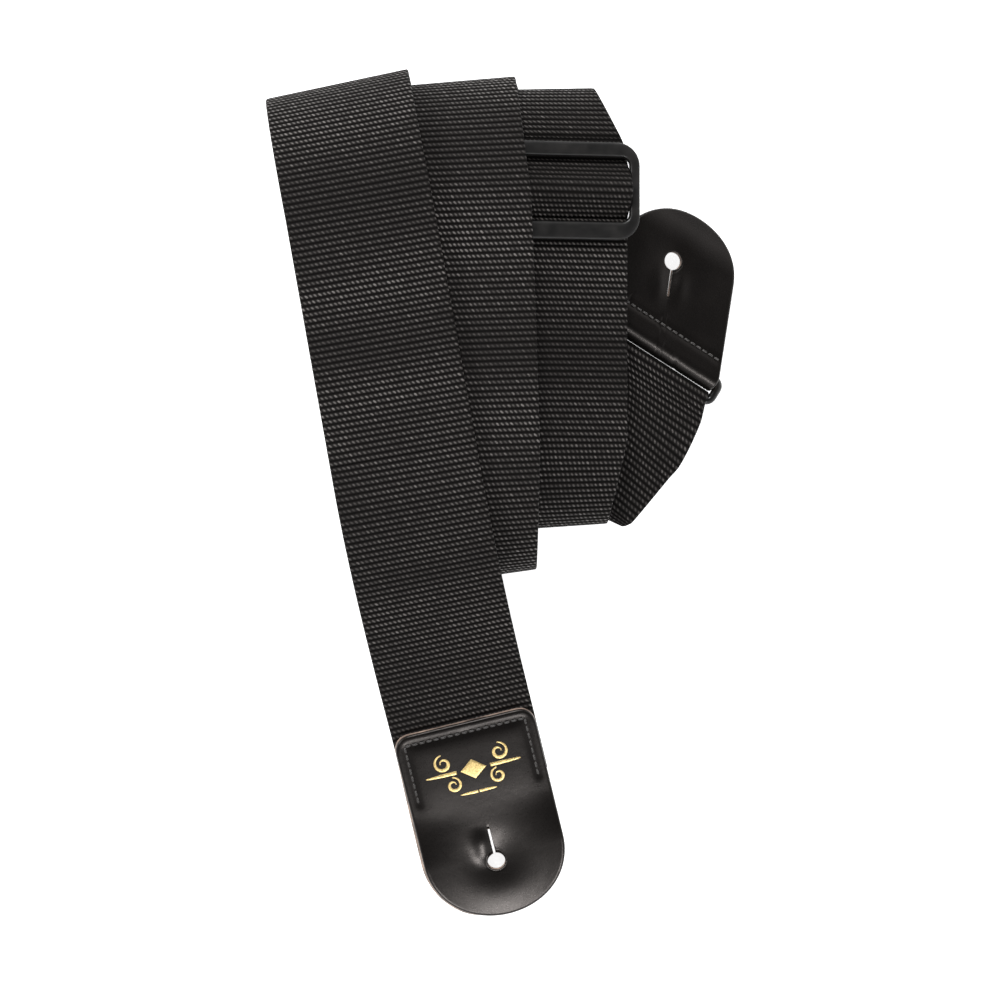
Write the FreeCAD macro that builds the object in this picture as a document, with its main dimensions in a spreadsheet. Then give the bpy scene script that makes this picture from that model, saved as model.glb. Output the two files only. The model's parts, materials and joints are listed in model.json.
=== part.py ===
"""Guitar strap: 50 mm webbing wound into a loose flat coil, leather tabs at both ends.

Millimetres. The coil lies on the plane z = 0, +Z is up, and the strap runs mainly along Y.
Following the strap from the front tab, the webbing goes up the flap, over the top fold, down
the back, and round and round inwards, through the slide adjuster, to the loop at the rear tab,
and back to the centre bar of the adjuster as a second layer.
"""
import FreeCAD, Part
import math
import os

from FreeCAD import Placement, Rotation, Vector

os.makedirs("parts", exist_ok=True)
doc = FreeCAD.newDocument("guitar_strap")
sheet = doc.addObject("Spreadsheet::Sheet", "Sizes")

SIZES = {
    "webbing_width": 50.0,
    "webbing_thick": 1.5,
    "layer_gap": 0.4,
    "node_gap": 1.2,
    "leather_thick": 2.8,
    "tab_width": 50.0,
    "front_tab_straight": 47.9,
    "hole_offset": 4.7,
    "tab_corner": 5.5,
    "button_hole": 6.2,
    "slit_long": 9.4,
    "slit_wide": 0.8,
    "sewn_length": 24.0,
    "rear_tab_straight": 24.5,
    "rear_skew": 21.5,
    "rear_ply_long": 14.0,
    "ring_bar": 3.0,
    "ring_inside": 50.8,
    "ring_pitch": 7.7,
    "ring_corner": 2.4,
    "slider_wide": 57.6,
    "slider_tall": 33.7,
    "slider_thick": 3.0,
    "slider_side_bar": 3.4,
    "slider_top_bar": 5.0,
    "slider_bottom_bar": 6.3,
    "slider_centre_bar": 3.2,
    "slider_corner": 8.0,
    "slider_window_corner": 1.2,
    "thread": 0.7,
    "stitch_pitch": 2.6,
    "stitch_long": 1.8,
    "seam_inset": 3.5,
    "foil_thick": 0.15,
}
for row, (alias, value) in enumerate(SIZES.items(), start=1):
    sheet.set(f"A{row}", alias)
    sheet.set(f"B{row}", str(value))
    sheet.setAlias(f"B{row}", alias)
doc.recompute()


def size(alias):
    """The value that the sheet holds for this alias."""
    return float(sheet.get(alias))


def bind(obj, **expressions):
    """Tie properties of an object to cells of the sheet."""
    for name, text in expressions.items():
        for alias in sorted(SIZES, key=len, reverse=True):
            text = text.replace(f"<{alias}>", f"Sizes.{alias}")
        obj.setExpression(name, text)
    return obj


# ---------------------------------------------------------------- lie of the coil

WIDTH = size("webbing_width")
THICK = size("webbing_thick")
LAYER_STEP = THICK + size("layer_gap")
QUARTER_STEPS = 8


class Panel:
    """A straight run of webbing: a point on its centre line, its lean in plan and its roll.

    lean turns the lower end to the right, roll lowers the right-hand edge, and rise is the
    change of height per millimetre of +Y.
    """

    def __init__(self, x, y, z, lean, roll=0.0, rise=0.0):
        self.x, self.y, self.z = x, y, z
        self.lean, self.roll, self.rise = lean, roll, rise

    def at(self, y):
        x = self.x - (y - self.y) * math.tan(math.radians(self.lean))
        return Vector(x, y, self.z + (y - self.y) * self.rise)


REAR_LEAN = -32.0
REAR_ROLL = 12.0
REAR_PITCH = -9.0
REAR_RUN_START = 21.0
REAR_RUN_STRAIGHT_END = 27.0
# Where the rear run lines up with the rear loop: sideways from its middle, and short of its bar.
NEAR_BAR_SHIFT = 3.0
NEAR_BAR_DISTANCE = 8.0
RING_CENTRE = Vector(56.2, 53.6, 12.4)

FLAP = Panel(-40.5, 63.5, 52.5, lean=10.1, rise=0.03)
OUTER_BACK = Panel(-56.0, 143.0, 0.5 * THICK, lean=14.1)
SECOND = Panel(-11.5, 50.0, 47.6, lean=2.0, rise=0.004)
MIDDLE_BACK = Panel(-13.0, 130.0, 4.2, lean=7.8, roll=1.0)
THIRD = Panel(20.9, 60.0, 33.0, lean=0.0, roll=15.0)
INNER_BACK = Panel(10.0, 130.0, 9.5, lean=4.1, roll=4.0)
FOURTH = Panel(17.1, -6.5, 18.5, lean=-40.0, roll=REAR_ROLL, rise=-0.11)


def width_direction(lean, roll):
    """Unit vector across the webbing, pointing to its right-hand edge."""
    across = math.cos(math.radians(roll))
    return Vector(
        math.cos(math.radians(lean)) * across,
        math.sin(math.radians(lean)) * across,
        -math.sin(math.radians(roll)),
    )


def straight(panel, y_from, y_to, steps=4):
    """Stations (point, width direction) along a panel."""
    ys = [y_from + (y_to - y_from) * i / steps for i in range(steps + 1)]
    return [(panel.at(y), width_direction(panel.lean, panel.roll)) for y in ys]


def turn(upper, lower, tip, upper_run, lower_run, side):
    """Stations round one end of the coil, from the upper panel to the lower panel.

    Each half is a quarter ellipse, so a slack webbing end is long and low on the upper side.
    side is +1 at the top end of the coil (+Y) and -1 at the bottom end.
    """
    start = upper.at(tip.y - side * upper_run)
    end = lower.at(tip.y - side * lower_run)
    stations = []
    for step in range(2 * QUARTER_STEPS + 1):
        share = step / (2 * QUARTER_STEPS)
        angle = math.radians(90.0 * (step % QUARTER_STEPS) / QUARTER_STEPS)
        if step < QUARTER_STEPS:
            forward, height = math.sin(angle), math.cos(angle)
            foot, reach = start, start.z - tip.z
        elif step < 2 * QUARTER_STEPS:
            forward, height = math.cos(angle), -math.sin(angle)
            foot, reach = end, tip.z - end.z
        else:
            forward, height, foot, reach = 0.0, -1.0, end, tip.z - end.z
        point = Vector(
            foot.x + (tip.x - foot.x) * forward,
            foot.y + (tip.y - foot.y) * forward,
            tip.z + reach * height,
        )
        lean = upper.lean + (lower.lean - upper.lean) * share
        roll = upper.roll + (lower.roll - upper.roll) * share
        stations.append((point, width_direction(lean, roll)))
    return stations


TOP_TURN = turn(FLAP, OUTER_BACK, Vector(-55.2, 142.6, 22.0), 44.0, 24.0, 1)
FIRST_BOTTOM_TURN = turn(SECOND, OUTER_BACK, Vector(-11.0, -28.0, 18.0), 44.0, 22.0, -1)
SECOND_TOP_TURN = turn(SECOND, MIDDLE_BACK, Vector(-18.5, 143.4, 20.0), 42.0, 18.0, 1)
SECOND_BOTTOM_TURN = turn(THIRD, MIDDLE_BACK, Vector(14.0, -10.3, 14.0), 30.0, 12.0, -1)
THIRD_TOP_TURN = turn(THIRD, INNER_BACK, Vector(9.5, 140.2, 18.5), 21.0, 14.0, 1)
THIRD_BOTTOM_TURN = turn(FOURTH, INNER_BACK, Vector(20.3, 0.8, 14.0), 7.0, 6.0, -1)


def normals(stations):
    """Outward unit normal of the webbing at each station."""
    result = []
    for i, (_, across) in enumerate(stations):
        before = stations[max(i - 1, 0)][0]
        after = stations[min(i + 1, len(stations) - 1)][0]
        result.append(across.cross(after - before).normalize())
    return result


def offset(stations, distance):
    """The same run of webbing moved outwards by a distance."""
    moved = []
    for (point, across), normal in zip(stations, normals(stations)):
        moved.append((point + normal * distance, across))
    return moved


def ribbon(stations, width=WIDTH, thick=THICK):
    """Solid webbing through the stations, with a rectangular section."""
    wires = []
    for (point, across), normal in zip(stations, normals(stations)):
        side = across * (0.5 * width)
        up = normal * (0.5 * thick)
        corners = [point - side - up, point + side - up, point + side + up, point - side + up]
        wires.append(Part.makePolygon(corners + corners[:1]))
    return Part.makeLoft(wires, True, True)


def feature(label, shape, placement=None):
    """A sub-part whose shape comes from Part functions."""
    obj = doc.addObject("Part::Feature", label)
    obj.Label = label
    obj.Shape = shape
    if placement is not None:
        obj.Placement = placement
    return obj


# ---------------------------------------------------------------- front end

FRONT_TAB_LEAN = 13.6
FRONT_TAB_PITCH = 14.0
FRONT_TAB_TOP = Vector(-12.0, -78.3, 19.2)
FRONT_TAB = Placement(
    FRONT_TAB_TOP, Rotation(Vector(0, 0, 1), FRONT_TAB_LEAN) * Rotation(Vector(1, 0, 0), FRONT_TAB_PITCH)
)
PLY_STEP = 0.5 * (size("leather_thick") + THICK) + 0.1
SLOPE_START = 8.0


def flap_stations():
    """The flap: level on the pile, then sloping down to the front tab with a slight bend."""
    top = TOP_TURN[0][0].y
    end = FRONT_TAB.multVec(Vector(0, 0.5 * size("node_gap"), -PLY_STEP))
    run = SLOPE_START - end.y
    slope = math.tan(math.radians(FRONT_TAB_PITCH)) * run
    sideways = end.x - FLAP.at(end.y).x
    stations = []
    steps = 12
    for i in range(steps, 0, -1):
        share = i / steps
        point = FLAP.at(SLOPE_START - run * share)
        point.x += sideways * share**2
        level = FLAP.at(SLOPE_START).z
        point.z = level + (end.z - level) * (3 * share**2 - 2 * share**3) - slope * (share**3 - share**2)
        lean = FLAP.lean + (FRONT_TAB_LEAN - FLAP.lean) * share
        stations.append((point, width_direction(lean, 0.0)))
    return stations + straight(FLAP, SLOPE_START, top)


def sewn_end_stations():
    """The end of the webbing that is sewn under the front tab."""
    across = FRONT_TAB.Rotation.multVec(Vector(1, 0, 0))
    ys = (-size("sewn_length"), -0.5 * size("sewn_length"), -0.5 * size("node_gap"))
    return [(FRONT_TAB.multVec(Vector(0, y, -PLY_STEP)), across) for y in ys]


def front_tab():
    """Leather tab with a round end, a button hole and a slit towards the webbing."""
    body = bind(
        doc.addObject("Part::Box", "front_tab_body"),
        Length="<tab_width>", Width="<front_tab_straight>", Height="<leather_thick>",
    )
    bind(
        body,
        **{
            "Placement.Base.x": "-<tab_width> / 2",
            "Placement.Base.y": "-<front_tab_straight>",
            "Placement.Base.z": "-<leather_thick> / 2",
        },
    )
    doc.recompute()
    corners = doc.addObject("Part::Fillet", "front_tab_corners")
    corners.Base = body
    radius = size("tab_corner")
    corners.Edges = [(number, radius, radius) for number in top_corner_edges(body)]
    end = bind(
        doc.addObject("Part::Cylinder", "front_tab_end"),
        Radius="<tab_width> / 2", Height="<leather_thick>",
    )
    bind(end, **{
        "Placement.Base.y": "-<front_tab_straight>",
        "Placement.Base.z": "-<leather_thick> / 2",
    })
    leather = doc.addObject("Part::Fuse", "front_tab_leather")
    leather.Base = corners
    leather.Tool = end
    keyhole = button_hole("front", "-<front_tab_straight> - <hole_offset>")
    tab = doc.addObject("Part::Cut", "front_tab")
    tab.Base = leather
    tab.Tool = keyhole
    tab.Label = "front_tab"
    tab.Placement = FRONT_TAB
    return tab


def top_corner_edges(box):
    """Numbers of the upright edges at the far end (+Y) of a box."""
    far = box.Shape.BoundBox.YMax
    numbers = []
    for number, edge in enumerate(box.Shape.Edges, start=1):
        upright = edge.BoundBox.ZLength > 0.9 * box.Shape.BoundBox.ZLength
        if upright and abs(edge.CenterOfMass.y - far) < 0.01:
            numbers.append(number)
    return numbers


def button_hole(prefix, y_text):
    """Tool for a strap-button hole with its slit, centred at this y."""
    hole = bind(
        doc.addObject("Part::Cylinder", prefix + "_hole"),
        Radius="<button_hole> / 2", Height="20",
    )
    bind(hole, **{"Placement.Base.y": y_text, "Placement.Base.z": "-10"})
    slit = bind(
        doc.addObject("Part::Box", prefix + "_slit"),
        Length="<slit_wide>", Width="<button_hole> / 2 + <slit_long>", Height="20",
    )
    bind(slit, **{
        "Placement.Base.x": "-<slit_wide> / 2",
        "Placement.Base.y": y_text,
        "Placement.Base.z": "-10",
    })
    keyhole = doc.addObject("Part::Fuse", prefix + "_keyhole")
    keyhole.Base = hole
    keyhole.Tool = slit
    return keyhole


def stitches(points, z):
    """Short lengths of thread lying along a line of points, just clear of the surface."""
    radius = 0.5 * size("thread")
    length = size("stitch_long")
    solids = []
    for start, finish in zip(points, points[1:]):
        run = finish - start
        count = max(1, round(run.Length / size("stitch_pitch")))
        along = Vector(run).normalize()
        for i in range(count):
            centre = start + run * ((i + 0.5) / count)
            foot = Vector(centre.x, centre.y, z + radius + 0.02) - along * (0.5 * length)
            solids.append(Part.makeCylinder(radius, length, foot, along))
    return Part.makeCompound(solids)


def front_tab_seam():
    """U of stitches round the part of the tab that covers the webbing."""
    inset = size("seam_inset")
    half = 0.5 * size("tab_width") - inset
    low = -size("sewn_length") - 1.0
    line = [Vector(-half, low, 0), Vector(-half, -inset, 0), Vector(half, -inset, 0), Vector(half, low, 0)]
    return stitches(line, 0.5 * size("leather_thick"))


def foil_ornament():
    """Plain gold foil: a long rule broken by a lozenge, with a short rule below it."""
    thick = size("foil_thick")
    z = 0.5 * size("leather_thick") + 0.01
    centre = -19.0
    half_rule, rule, lozenge = 15.5, 0.9, 4.6
    solids = []
    for side in (-1, 1):
        inner, outer = sorted((side * (lozenge + 2.0), side * half_rule))
        solids.append(Part.makeBox(outer - inner, rule, thick, Vector(inner, centre - rule / 2, z)))
    for step in (0.0, 4.5):
        half = 8.5 - step
        y = centre - 7.0 - step
        solids.append(Part.makeBox(2 * half, rule, thick, Vector(-half, y - rule / 2, z)))
    points = [(lozenge, 0), (0, lozenge * 0.8), (-lozenge, 0), (0, -lozenge * 0.8), (lozenge, 0)]
    wire = Part.makePolygon([Vector(x, centre + y, z) for x, y in points])
    solids.append(Part.Face(wire).extrude(Vector(0, 0, thick)))
    return Part.makeCompound(solids)


# ---------------------------------------------------------------- rear end

REAR_FRAME = Placement(
    RING_CENTRE, Rotation(Vector(0, 0, 1), REAR_LEAN) * Rotation(Vector(0, 1, 0), REAR_ROLL)
)
REAR_TAB = REAR_FRAME * Placement(Vector(), Rotation(Vector(1, 0, 0), REAR_PITCH))
WRAP_INSIDE = 0.5 * size("ring_bar") + 0.15
WRAP_OUTSIDE = WRAP_INSIDE + size("leather_thick")
REAR_FLAT = 33.0
REAR_DROOP = 26.0
DROOP_ANGLE = 36.0


def rear_loop():
    """Rectangular wire loop: two long bars, two short ones and four bent corners."""
    bend = "<ring_corner>"
    long_bar = f"<ring_inside> + <ring_bar> - 2 * {bend}"
    short_bar = f"<ring_pitch> - 2 * {bend}"
    pieces = []
    for name, y_text in (("tab_bar", "0"), ("webbing_bar", "-<ring_pitch>")):
        bar = bind(doc.addObject("Part::Cylinder", name), Radius="<ring_bar> / 2", Height=long_bar)
        bar.Placement = Placement(Vector(), Rotation(Vector(0, 1, 0), 90))
        bind(bar, **{"Placement.Base.x": f"-({long_bar}) / 2", "Placement.Base.y": y_text})
        pieces.append(bar)
    for sign, name in (("-", "left_bar"), ("", "right_bar")):
        bar = bind(doc.addObject("Part::Cylinder", name), Radius="<ring_bar> / 2", Height=short_bar)
        bar.Placement = Placement(Vector(), Rotation(Vector(1, 0, 0), 90))
        bind(bar, **{
            "Placement.Base.x": f"{sign}(<ring_inside> + <ring_bar>) / 2",
            "Placement.Base.y": f"-{bend}",
        })
        pieces.append(bar)
    turns = {0: ("", "-" + bend), 90: ("-", "-" + bend), 180: ("-", f"{bend} - <ring_pitch>"),
             270: ("", f"{bend} - <ring_pitch>")}
    for angle, (sign, y_text) in turns.items():
        corner = bind(
            doc.addObject("Part::Torus", f"corner_{angle}"),
            Radius1=bend, Radius2="<ring_bar> / 2", Angle3="90",
        )
        corner.Placement = Placement(Vector(), Rotation(Vector(0, 0, 1), angle))
        bind(corner, **{"Placement.Base.x": f"{sign}({long_bar}) / 2", "Placement.Base.y": y_text})
        pieces.append(corner)
    loop = doc.addObject("Part::MultiFuse", "rear_loop")
    loop.Shapes = pieces
    loop.Label = "rear_loop"
    loop.Placement = REAR_FRAME
    return loop


def yz(y, z):
    """Point of a profile in the local YZ plane."""
    return Vector(0, y, z)


def arc(centre, radius, start, end):
    """Arc in the local YZ plane, as an edge; angles in degrees from +Y towards +Z."""
    points = []
    for angle in (start, 0.5 * (start + end), end):
        turned = math.radians(angle)
        points.append(yz(centre.y + radius * math.cos(turned), centre.z + radius * math.sin(turned)))
    return Part.Arc(*points).toShape()


def rear_leather_profile():
    """Section of the folded leather: long ply, wrap round the bar and short back ply."""
    thick = size("leather_thick")
    centre = yz(REAR_FLAT, WRAP_OUTSIDE - REAR_DROOP)
    inner, outer = REAR_DROOP - thick, REAR_DROOP
    tip = math.radians(90.0 - DROOP_ANGLE)
    tip_outer = centre + yz(outer * math.cos(tip), outer * math.sin(tip))
    tip_inner = centre + yz(inner * math.cos(tip), inner * math.sin(tip))
    ply_end = size("rear_ply_long")
    inside, outside = WRAP_INSIDE, WRAP_OUTSIDE
    back_top = inside - 0.1
    joined = 8.0
    knee = (joined - 1.4, 0.6 - outside)
    edges = [
        Part.makeLine(yz(0, outside), yz(REAR_FLAT, outside)),
        arc(centre, outer, 90.0, 90.0 - DROOP_ANGLE),
        Part.makeLine(tip_outer, tip_inner),
        arc(centre, inner, 90.0 - DROOP_ANGLE, 90.0),
        Part.makeLine(yz(REAR_FLAT, inside), yz(0, inside)),
        arc(yz(0, 0), inside, 90.0, 270.0),
        Part.makeLine(yz(0, -inside), yz(0.5 * joined, -inside)),
        Part.makeLine(yz(0.5 * joined, -inside), yz(joined, back_top)),
        Part.makeLine(yz(joined, back_top), yz(ply_end, back_top)),
        Part.makeLine(yz(ply_end, back_top), yz(ply_end, back_top - thick)),
        Part.makeLine(yz(ply_end, back_top - thick), yz(*knee)),
        Part.makeLine(yz(*knee), yz(0, -outside)),
        arc(yz(0, 0), outside, 270.0, 90.0),
    ]
    return Part.Face(Part.Wire(Part.__sortEdges__(edges)))


def rear_tab():
    """Leather tab folded round the loop, with a round end that droops."""
    half = 0.5 * size("tab_width")
    sheet_shape = rear_leather_profile().extrude(Vector(2 * half + 40, 0, 0))
    sheet_shape.translate(Vector(-half - 20, 0, 0))
    leather = feature("rear_leather_sheet", sheet_shape)
    outline = feature("rear_outline", rear_outline())
    blank = doc.addObject("Part::Common", "rear_blank")
    blank.Base = leather
    blank.Tool = outline
    keyhole = button_hole("rear", "<rear_tab_straight> + <hole_offset>")
    keyhole.Placement = Placement(Vector(), Rotation(Vector(0, 0, 1), size("rear_skew")))
    tab = doc.addObject("Part::Cut", "rear_tab")
    tab.Base = blank
    tab.Tool = keyhole
    tab.Label = "rear_tab"
    tab.Placement = REAR_TAB
    return tab


def rear_outline():
    """Prism of the rear tab's outline: square at the fold, skewed, with a round end."""
    skew = math.radians(size("rear_skew"))
    along = Vector(-math.sin(skew), math.cos(skew), 0)
    across = Vector(math.cos(skew), math.sin(skew), 0)
    half = 0.5 * size("tab_width")
    radius = half * math.cos(skew)
    centre = along * size("rear_tab_straight")
    low = Vector(0, -WRAP_OUTSIDE - 1.0, 0)
    right, left = centre + across * radius, centre - across * radius
    end = Part.Arc(right, centre + along * radius, left).toShape()
    edges = [
        Part.makeLine(low + Vector(half, 0, 0), Vector(half, 0, 0)),
        Part.makeLine(Vector(half, 0, 0), right),
        end,
        Part.makeLine(left, Vector(-half, 0, 0)),
        Part.makeLine(Vector(-half, 0, 0), low - Vector(half, 0, 0)),
        Part.makeLine(low - Vector(half, 0, 0), low + Vector(half, 0, 0)),
    ]
    prism = Part.Face(Part.Wire(edges)).extrude(Vector(0, 0, 60))
    prism.translate(Vector(0, 0, -40))
    return prism


def rear_tab_seam():
    """Row of stitches through both plies, beside the fold."""
    half = 0.5 * size("tab_width") - size("seam_inset")
    beside_fold = 1.5
    y = WRAP_OUTSIDE + beside_fold
    return stitches([Vector(-half, y, 0), Vector(half, y, 0)], WRAP_OUTSIDE)


def loop_turn():
    """U-turn of the webbing round its bar of the rear loop, in the rear frame."""
    radius = 0.5 * size("ring_bar") + 0.5 * THICK + 0.2
    across = REAR_FRAME.Rotation.multVec(Vector(1, 0, 0))
    stations = []
    for step in range(QUARTER_STEPS + 1):
        angle = math.radians(90.0 - 180.0 * step / QUARTER_STEPS)
        local = Vector(0, radius * math.cos(angle) - size("ring_pitch"), radius * math.sin(angle))
        stations.append((REAR_FRAME.multVec(local), across))
    return stations


# ---------------------------------------------------------------- adjuster

SLIDER_Y = 105.4
SLIDER_LIFT = 0.5 * size("slider_thick") + 0.5 * THICK + 0.1
THIRD_ROTATION = Rotation(Vector(0, 1, 0), THIRD.roll)
SLIDER = Placement(
    THIRD.at(SLIDER_Y) + THIRD_ROTATION.multVec(Vector(0, 0, SLIDER_LIFT)), THIRD_ROTATION
)
SLIDER_UPPER = THIRD_TOP_TURN[0][0].y - SLIDER_Y - 0.6
SLIDER_LOWER = -0.5 * size("slider_tall") - 2.0
RUN_START = 20.5


def rounded_box(name, width, height, thick, radius_alias, y_text="0"):
    """Box with rounded upright edges, centred in X and Z, bound to the sheet."""
    box = bind(doc.addObject("Part::Box", name + "_box"), Length=width, Width=height, Height=thick)
    bind(box, **{
        "Placement.Base.x": f"-({width}) / 2",
        "Placement.Base.y": f"{y_text} - ({height}) / 2",
        "Placement.Base.z": f"-({thick}) / 2",
    })
    doc.recompute()
    rounded = doc.addObject("Part::Fillet", name)
    rounded.Base = box
    radius = size(radius_alias)
    depth = box.Shape.BoundBox.ZLength
    rounded.Edges = [
        (number, radius, radius)
        for number, edge in enumerate(box.Shape.Edges, start=1)
        if edge.BoundBox.ZLength > 0.9 * depth
    ]
    return rounded


def slide_adjuster():
    """Moulded three-bar slide: rounded frame with a window, and a round bar across the middle."""
    frame = rounded_box("slide_frame", "<slider_wide>", "<slider_tall>", "<slider_thick>", "slider_corner")
    window_wide = "<slider_wide> - 2 * <slider_side_bar>"
    window_tall = "<slider_tall> - <slider_top_bar> - <slider_bottom_bar>"
    window_y = "(<slider_bottom_bar> - <slider_top_bar>) / 2"
    window = rounded_box(
        "slide_window", window_wide, window_tall, "2 * <slider_thick>", "slider_window_corner", window_y
    )
    rim = doc.addObject("Part::Cut", "slide_rim")
    rim.Base = frame
    rim.Tool = window
    bar_long = "<slider_wide> - <slider_side_bar>"
    bar = bind(
        doc.addObject("Part::Cylinder", "centre_bar"),
        Radius="<slider_centre_bar> / 2", Height=bar_long,
    )
    bar.Placement = Placement(Vector(), Rotation(Vector(0, 1, 0), 90))
    bind(bar, **{"Placement.Base.x": f"-({bar_long}) / 2", "Placement.Base.y": window_y})
    slide = doc.addObject("Part::Fuse", "slide_adjuster")
    slide.Base = rim
    slide.Tool = bar
    slide.Label = "slide_adjuster"
    slide.Placement = SLIDER
    return slide


BAR_Y = 0.5 * (size("slider_bottom_bar") - size("slider_top_bar"))
LOOP_RADIUS = 0.5 * size("slider_centre_bar") + 0.5 * THICK + 0.15
SADDLE_RADIUS = LOOP_RADIUS + LAYER_STEP
FOOT_REACH = 10.6
FOOT_RADIUS = 2.0


def in_slider(points):
    """Stations of webbing through points (y, z) of the slider's own frame."""
    across = SLIDER.Rotation.multVec(Vector(1, 0, 0))
    return [(SLIDER.multVec(Vector(0, y, z)), across) for y, z in points]


def ramp_angle():
    """Slope of the webbing between the centre bar and the outer bars, in radians."""
    drop = -SLIDER_LIFT + FOOT_RADIUS
    radii = SADDLE_RADIUS + FOOT_RADIUS
    reach = math.hypot(drop, FOOT_REACH)
    straight_part = math.sqrt(reach**2 - radii**2)
    return math.atan2(FOOT_REACH, drop) - math.atan2(straight_part, radii)


def ramp(layer_below=0.0):
    """Points (y, z) from the top of the centre bar down to the level of the outer bars.

    layer_below moves the path inwards, for the ply that lies under the sliding layer.
    """
    slope = ramp_angle()
    points = []
    for step in range(4):
        angle = slope * step / 3
        radius = SADDLE_RADIUS - layer_below
        points.append((BAR_Y + radius * math.sin(angle), radius * math.cos(angle)))
    for step in range(4):
        angle = slope * (1 - step / 3)
        radius = FOOT_RADIUS + layer_below
        foot_z = -SLIDER_LIFT + FOOT_RADIUS
        points.append((BAR_Y + FOOT_REACH - radius * math.sin(angle), foot_z - radius * math.cos(angle)))
    return points


def saddle_stations():
    """Sliding layer: under the lower bar, over the centre bar, and under the upper bar."""
    base = -SLIDER_LIFT
    upper = ramp()
    lower = [(2 * BAR_Y - y, z) for y, z in upper[:0:-1]]
    return in_slider([(SLIDER_LOWER + 0.5, base)] + lower + upper + [(SLIDER_UPPER, base)])


def stitched_loop_stations():
    """End of the strap: round the centre bar and back under itself, where it is sewn."""
    under = -SLIDER_LIFT - LAYER_STEP
    folded = under - LAYER_STEP
    points = [(SLIDER_UPPER, under)] + ramp(LAYER_STEP)[::-1]
    for step in range(1, QUARTER_STEPS + 1):
        angle = math.pi * step / QUARTER_STEPS
        points.append((BAR_Y - LOOP_RADIUS * math.sin(angle), LOOP_RADIUS * math.cos(angle)))
    drop = -LOOP_RADIUS - folded
    for step in range(1, QUARTER_STEPS + 1):
        share = step / QUARTER_STEPS
        fall = 0.5 - 0.5 * math.cos(math.pi * share)
        points.append((BAR_Y + FOOT_REACH * share, -LOOP_RADIUS - drop * fall))
    return in_slider(points + [(SLIDER_UPPER - 1.0, folded)])


def adjuster_seam():
    """Rows of stitches under the sewn end, along the webbing's width."""
    half = 0.5 * WIDTH - 4.0
    surface = -SLIDER_LIFT - 2 * LAYER_STEP - 0.5 * THICK - size("thread") - 0.06
    row_insets = (2.2, 4.6)
    rows = []
    for inset in row_insets:
        y = SLIDER_UPPER - inset
        rows.append(stitches([Vector(-half, y, 0), Vector(half, y, 0)], surface))
    return Part.makeCompound(rows)


# ---------------------------------------------------------------- webbing sub-parts

FOLD_TRIM = 0.5 * size("node_gap")


def coil_stations():
    """From the back of the top fold to the start of the run that the adjuster slides on."""
    return (
        TOP_TURN[-1:]
        + FIRST_BOTTOM_TURN[::-1]
        + SECOND_TOP_TURN
        + SECOND_BOTTOM_TURN[::-1]
    )


def doubled_stations():
    """Middle of the doubled layers, from the adjuster to the start of the rear run."""
    return THIRD_TOP_TURN + THIRD_BOTTOM_TURN[::-1] + straight(FOURTH, 12.0, REAR_RUN_START, 2)


def inner_turn(distance):
    """One layer of the third top turn and of the innermost back."""
    layer = offset(doubled_stations(), distance)
    return layer[1:len(THIRD_TOP_TURN)] + [between(layer, len(THIRD_TOP_TURN), -FOLD_TRIM)]


def rear_fold(distance):
    """One layer of the fold at the start of the rear run."""
    layer = offset(doubled_stations(), distance)
    return ribbon([between(layer, len(THIRD_TOP_TURN), FOLD_TRIM)] + layer[len(THIRD_TOP_TURN) + 1:])


def between(layer, index, step):
    """Station a short step along the webbing from station number index."""
    toward = layer[index + 1 if step > 0 else index - 1][0]
    point, across = layer[index]
    return point + (toward - point).normalize() * abs(step), across


def rear_run_middle():
    """Middle of the doubled layers, from the fold to the rear loop."""
    across = REAR_FRAME.Rotation.multVec(Vector(1, 0, 0))
    near_bar = REAR_FRAME.multVec(Vector(NEAR_BAR_SHIFT, -size("ring_pitch") - NEAR_BAR_DISTANCE, 0))
    start = REAR_RUN_START + size("node_gap")
    return straight(FOURTH, start, REAR_RUN_STRAIGHT_END, 1) + [(near_bar, across)]


def rear_run_stations():
    """Up to the rear loop on top, round its bar, and back underneath."""
    middle = rear_run_middle()
    upper = offset(middle, 0.5 * LAYER_STEP)
    lower = offset(middle, -0.5 * LAYER_STEP)
    return upper + loop_turn() + lower[::-1]


def trimmed(stations, start=0.0, end=0.0):
    """Stations with the ends drawn in by these lengths, to leave a gap between sub-parts."""
    result = list(stations)
    if start:
        (a, across), (b, _) = result[0], result[1]
        result[0] = (a + (b - a).normalize() * start, across)
    if end:
        (a, across), (b, _) = result[-1], result[-2]
        result[-1] = (a + (b - a).normalize() * end, across)
    return result


sub_parts = [
    feature("webbing_flap", ribbon(flap_stations())),
    feature("webbing_sewn_end", ribbon(sewn_end_stations())),
    feature("webbing_front_fold", ribbon(trimmed(TOP_TURN, FOLD_TRIM, FOLD_TRIM))),
    feature("webbing_coil", ribbon(coil_stations())),
    feature("webbing_slide_run", ribbon(
        trimmed(straight(THIRD, RUN_START, SLIDER_Y + SLIDER_LOWER), FOLD_TRIM, 0.0))),
    feature("webbing_saddle", ribbon(saddle_stations())),
    feature("webbing_stitched_loop", ribbon(stitched_loop_stations())),
    feature("webbing_inner_turn", ribbon(inner_turn(0.5 * LAYER_STEP))),
    feature("webbing_return", ribbon(inner_turn(-0.5 * LAYER_STEP))),
    feature("webbing_rear_fold", Part.makeCompound(
        [rear_fold(0.5 * LAYER_STEP), rear_fold(-0.5 * LAYER_STEP)])),
    feature("webbing_rear_run", ribbon(rear_run_stations())),
    slide_adjuster(),
    rear_loop(),
    front_tab(),
    rear_tab(),
    feature("front_tab_seam", front_tab_seam(), FRONT_TAB),
    feature("rear_tab_seam", rear_tab_seam(), REAR_TAB),
    feature("adjuster_seam", adjuster_seam(), SLIDER),
    feature("foil_ornament", foil_ornament(), FRONT_TAB),
]
doc.recompute()

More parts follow.
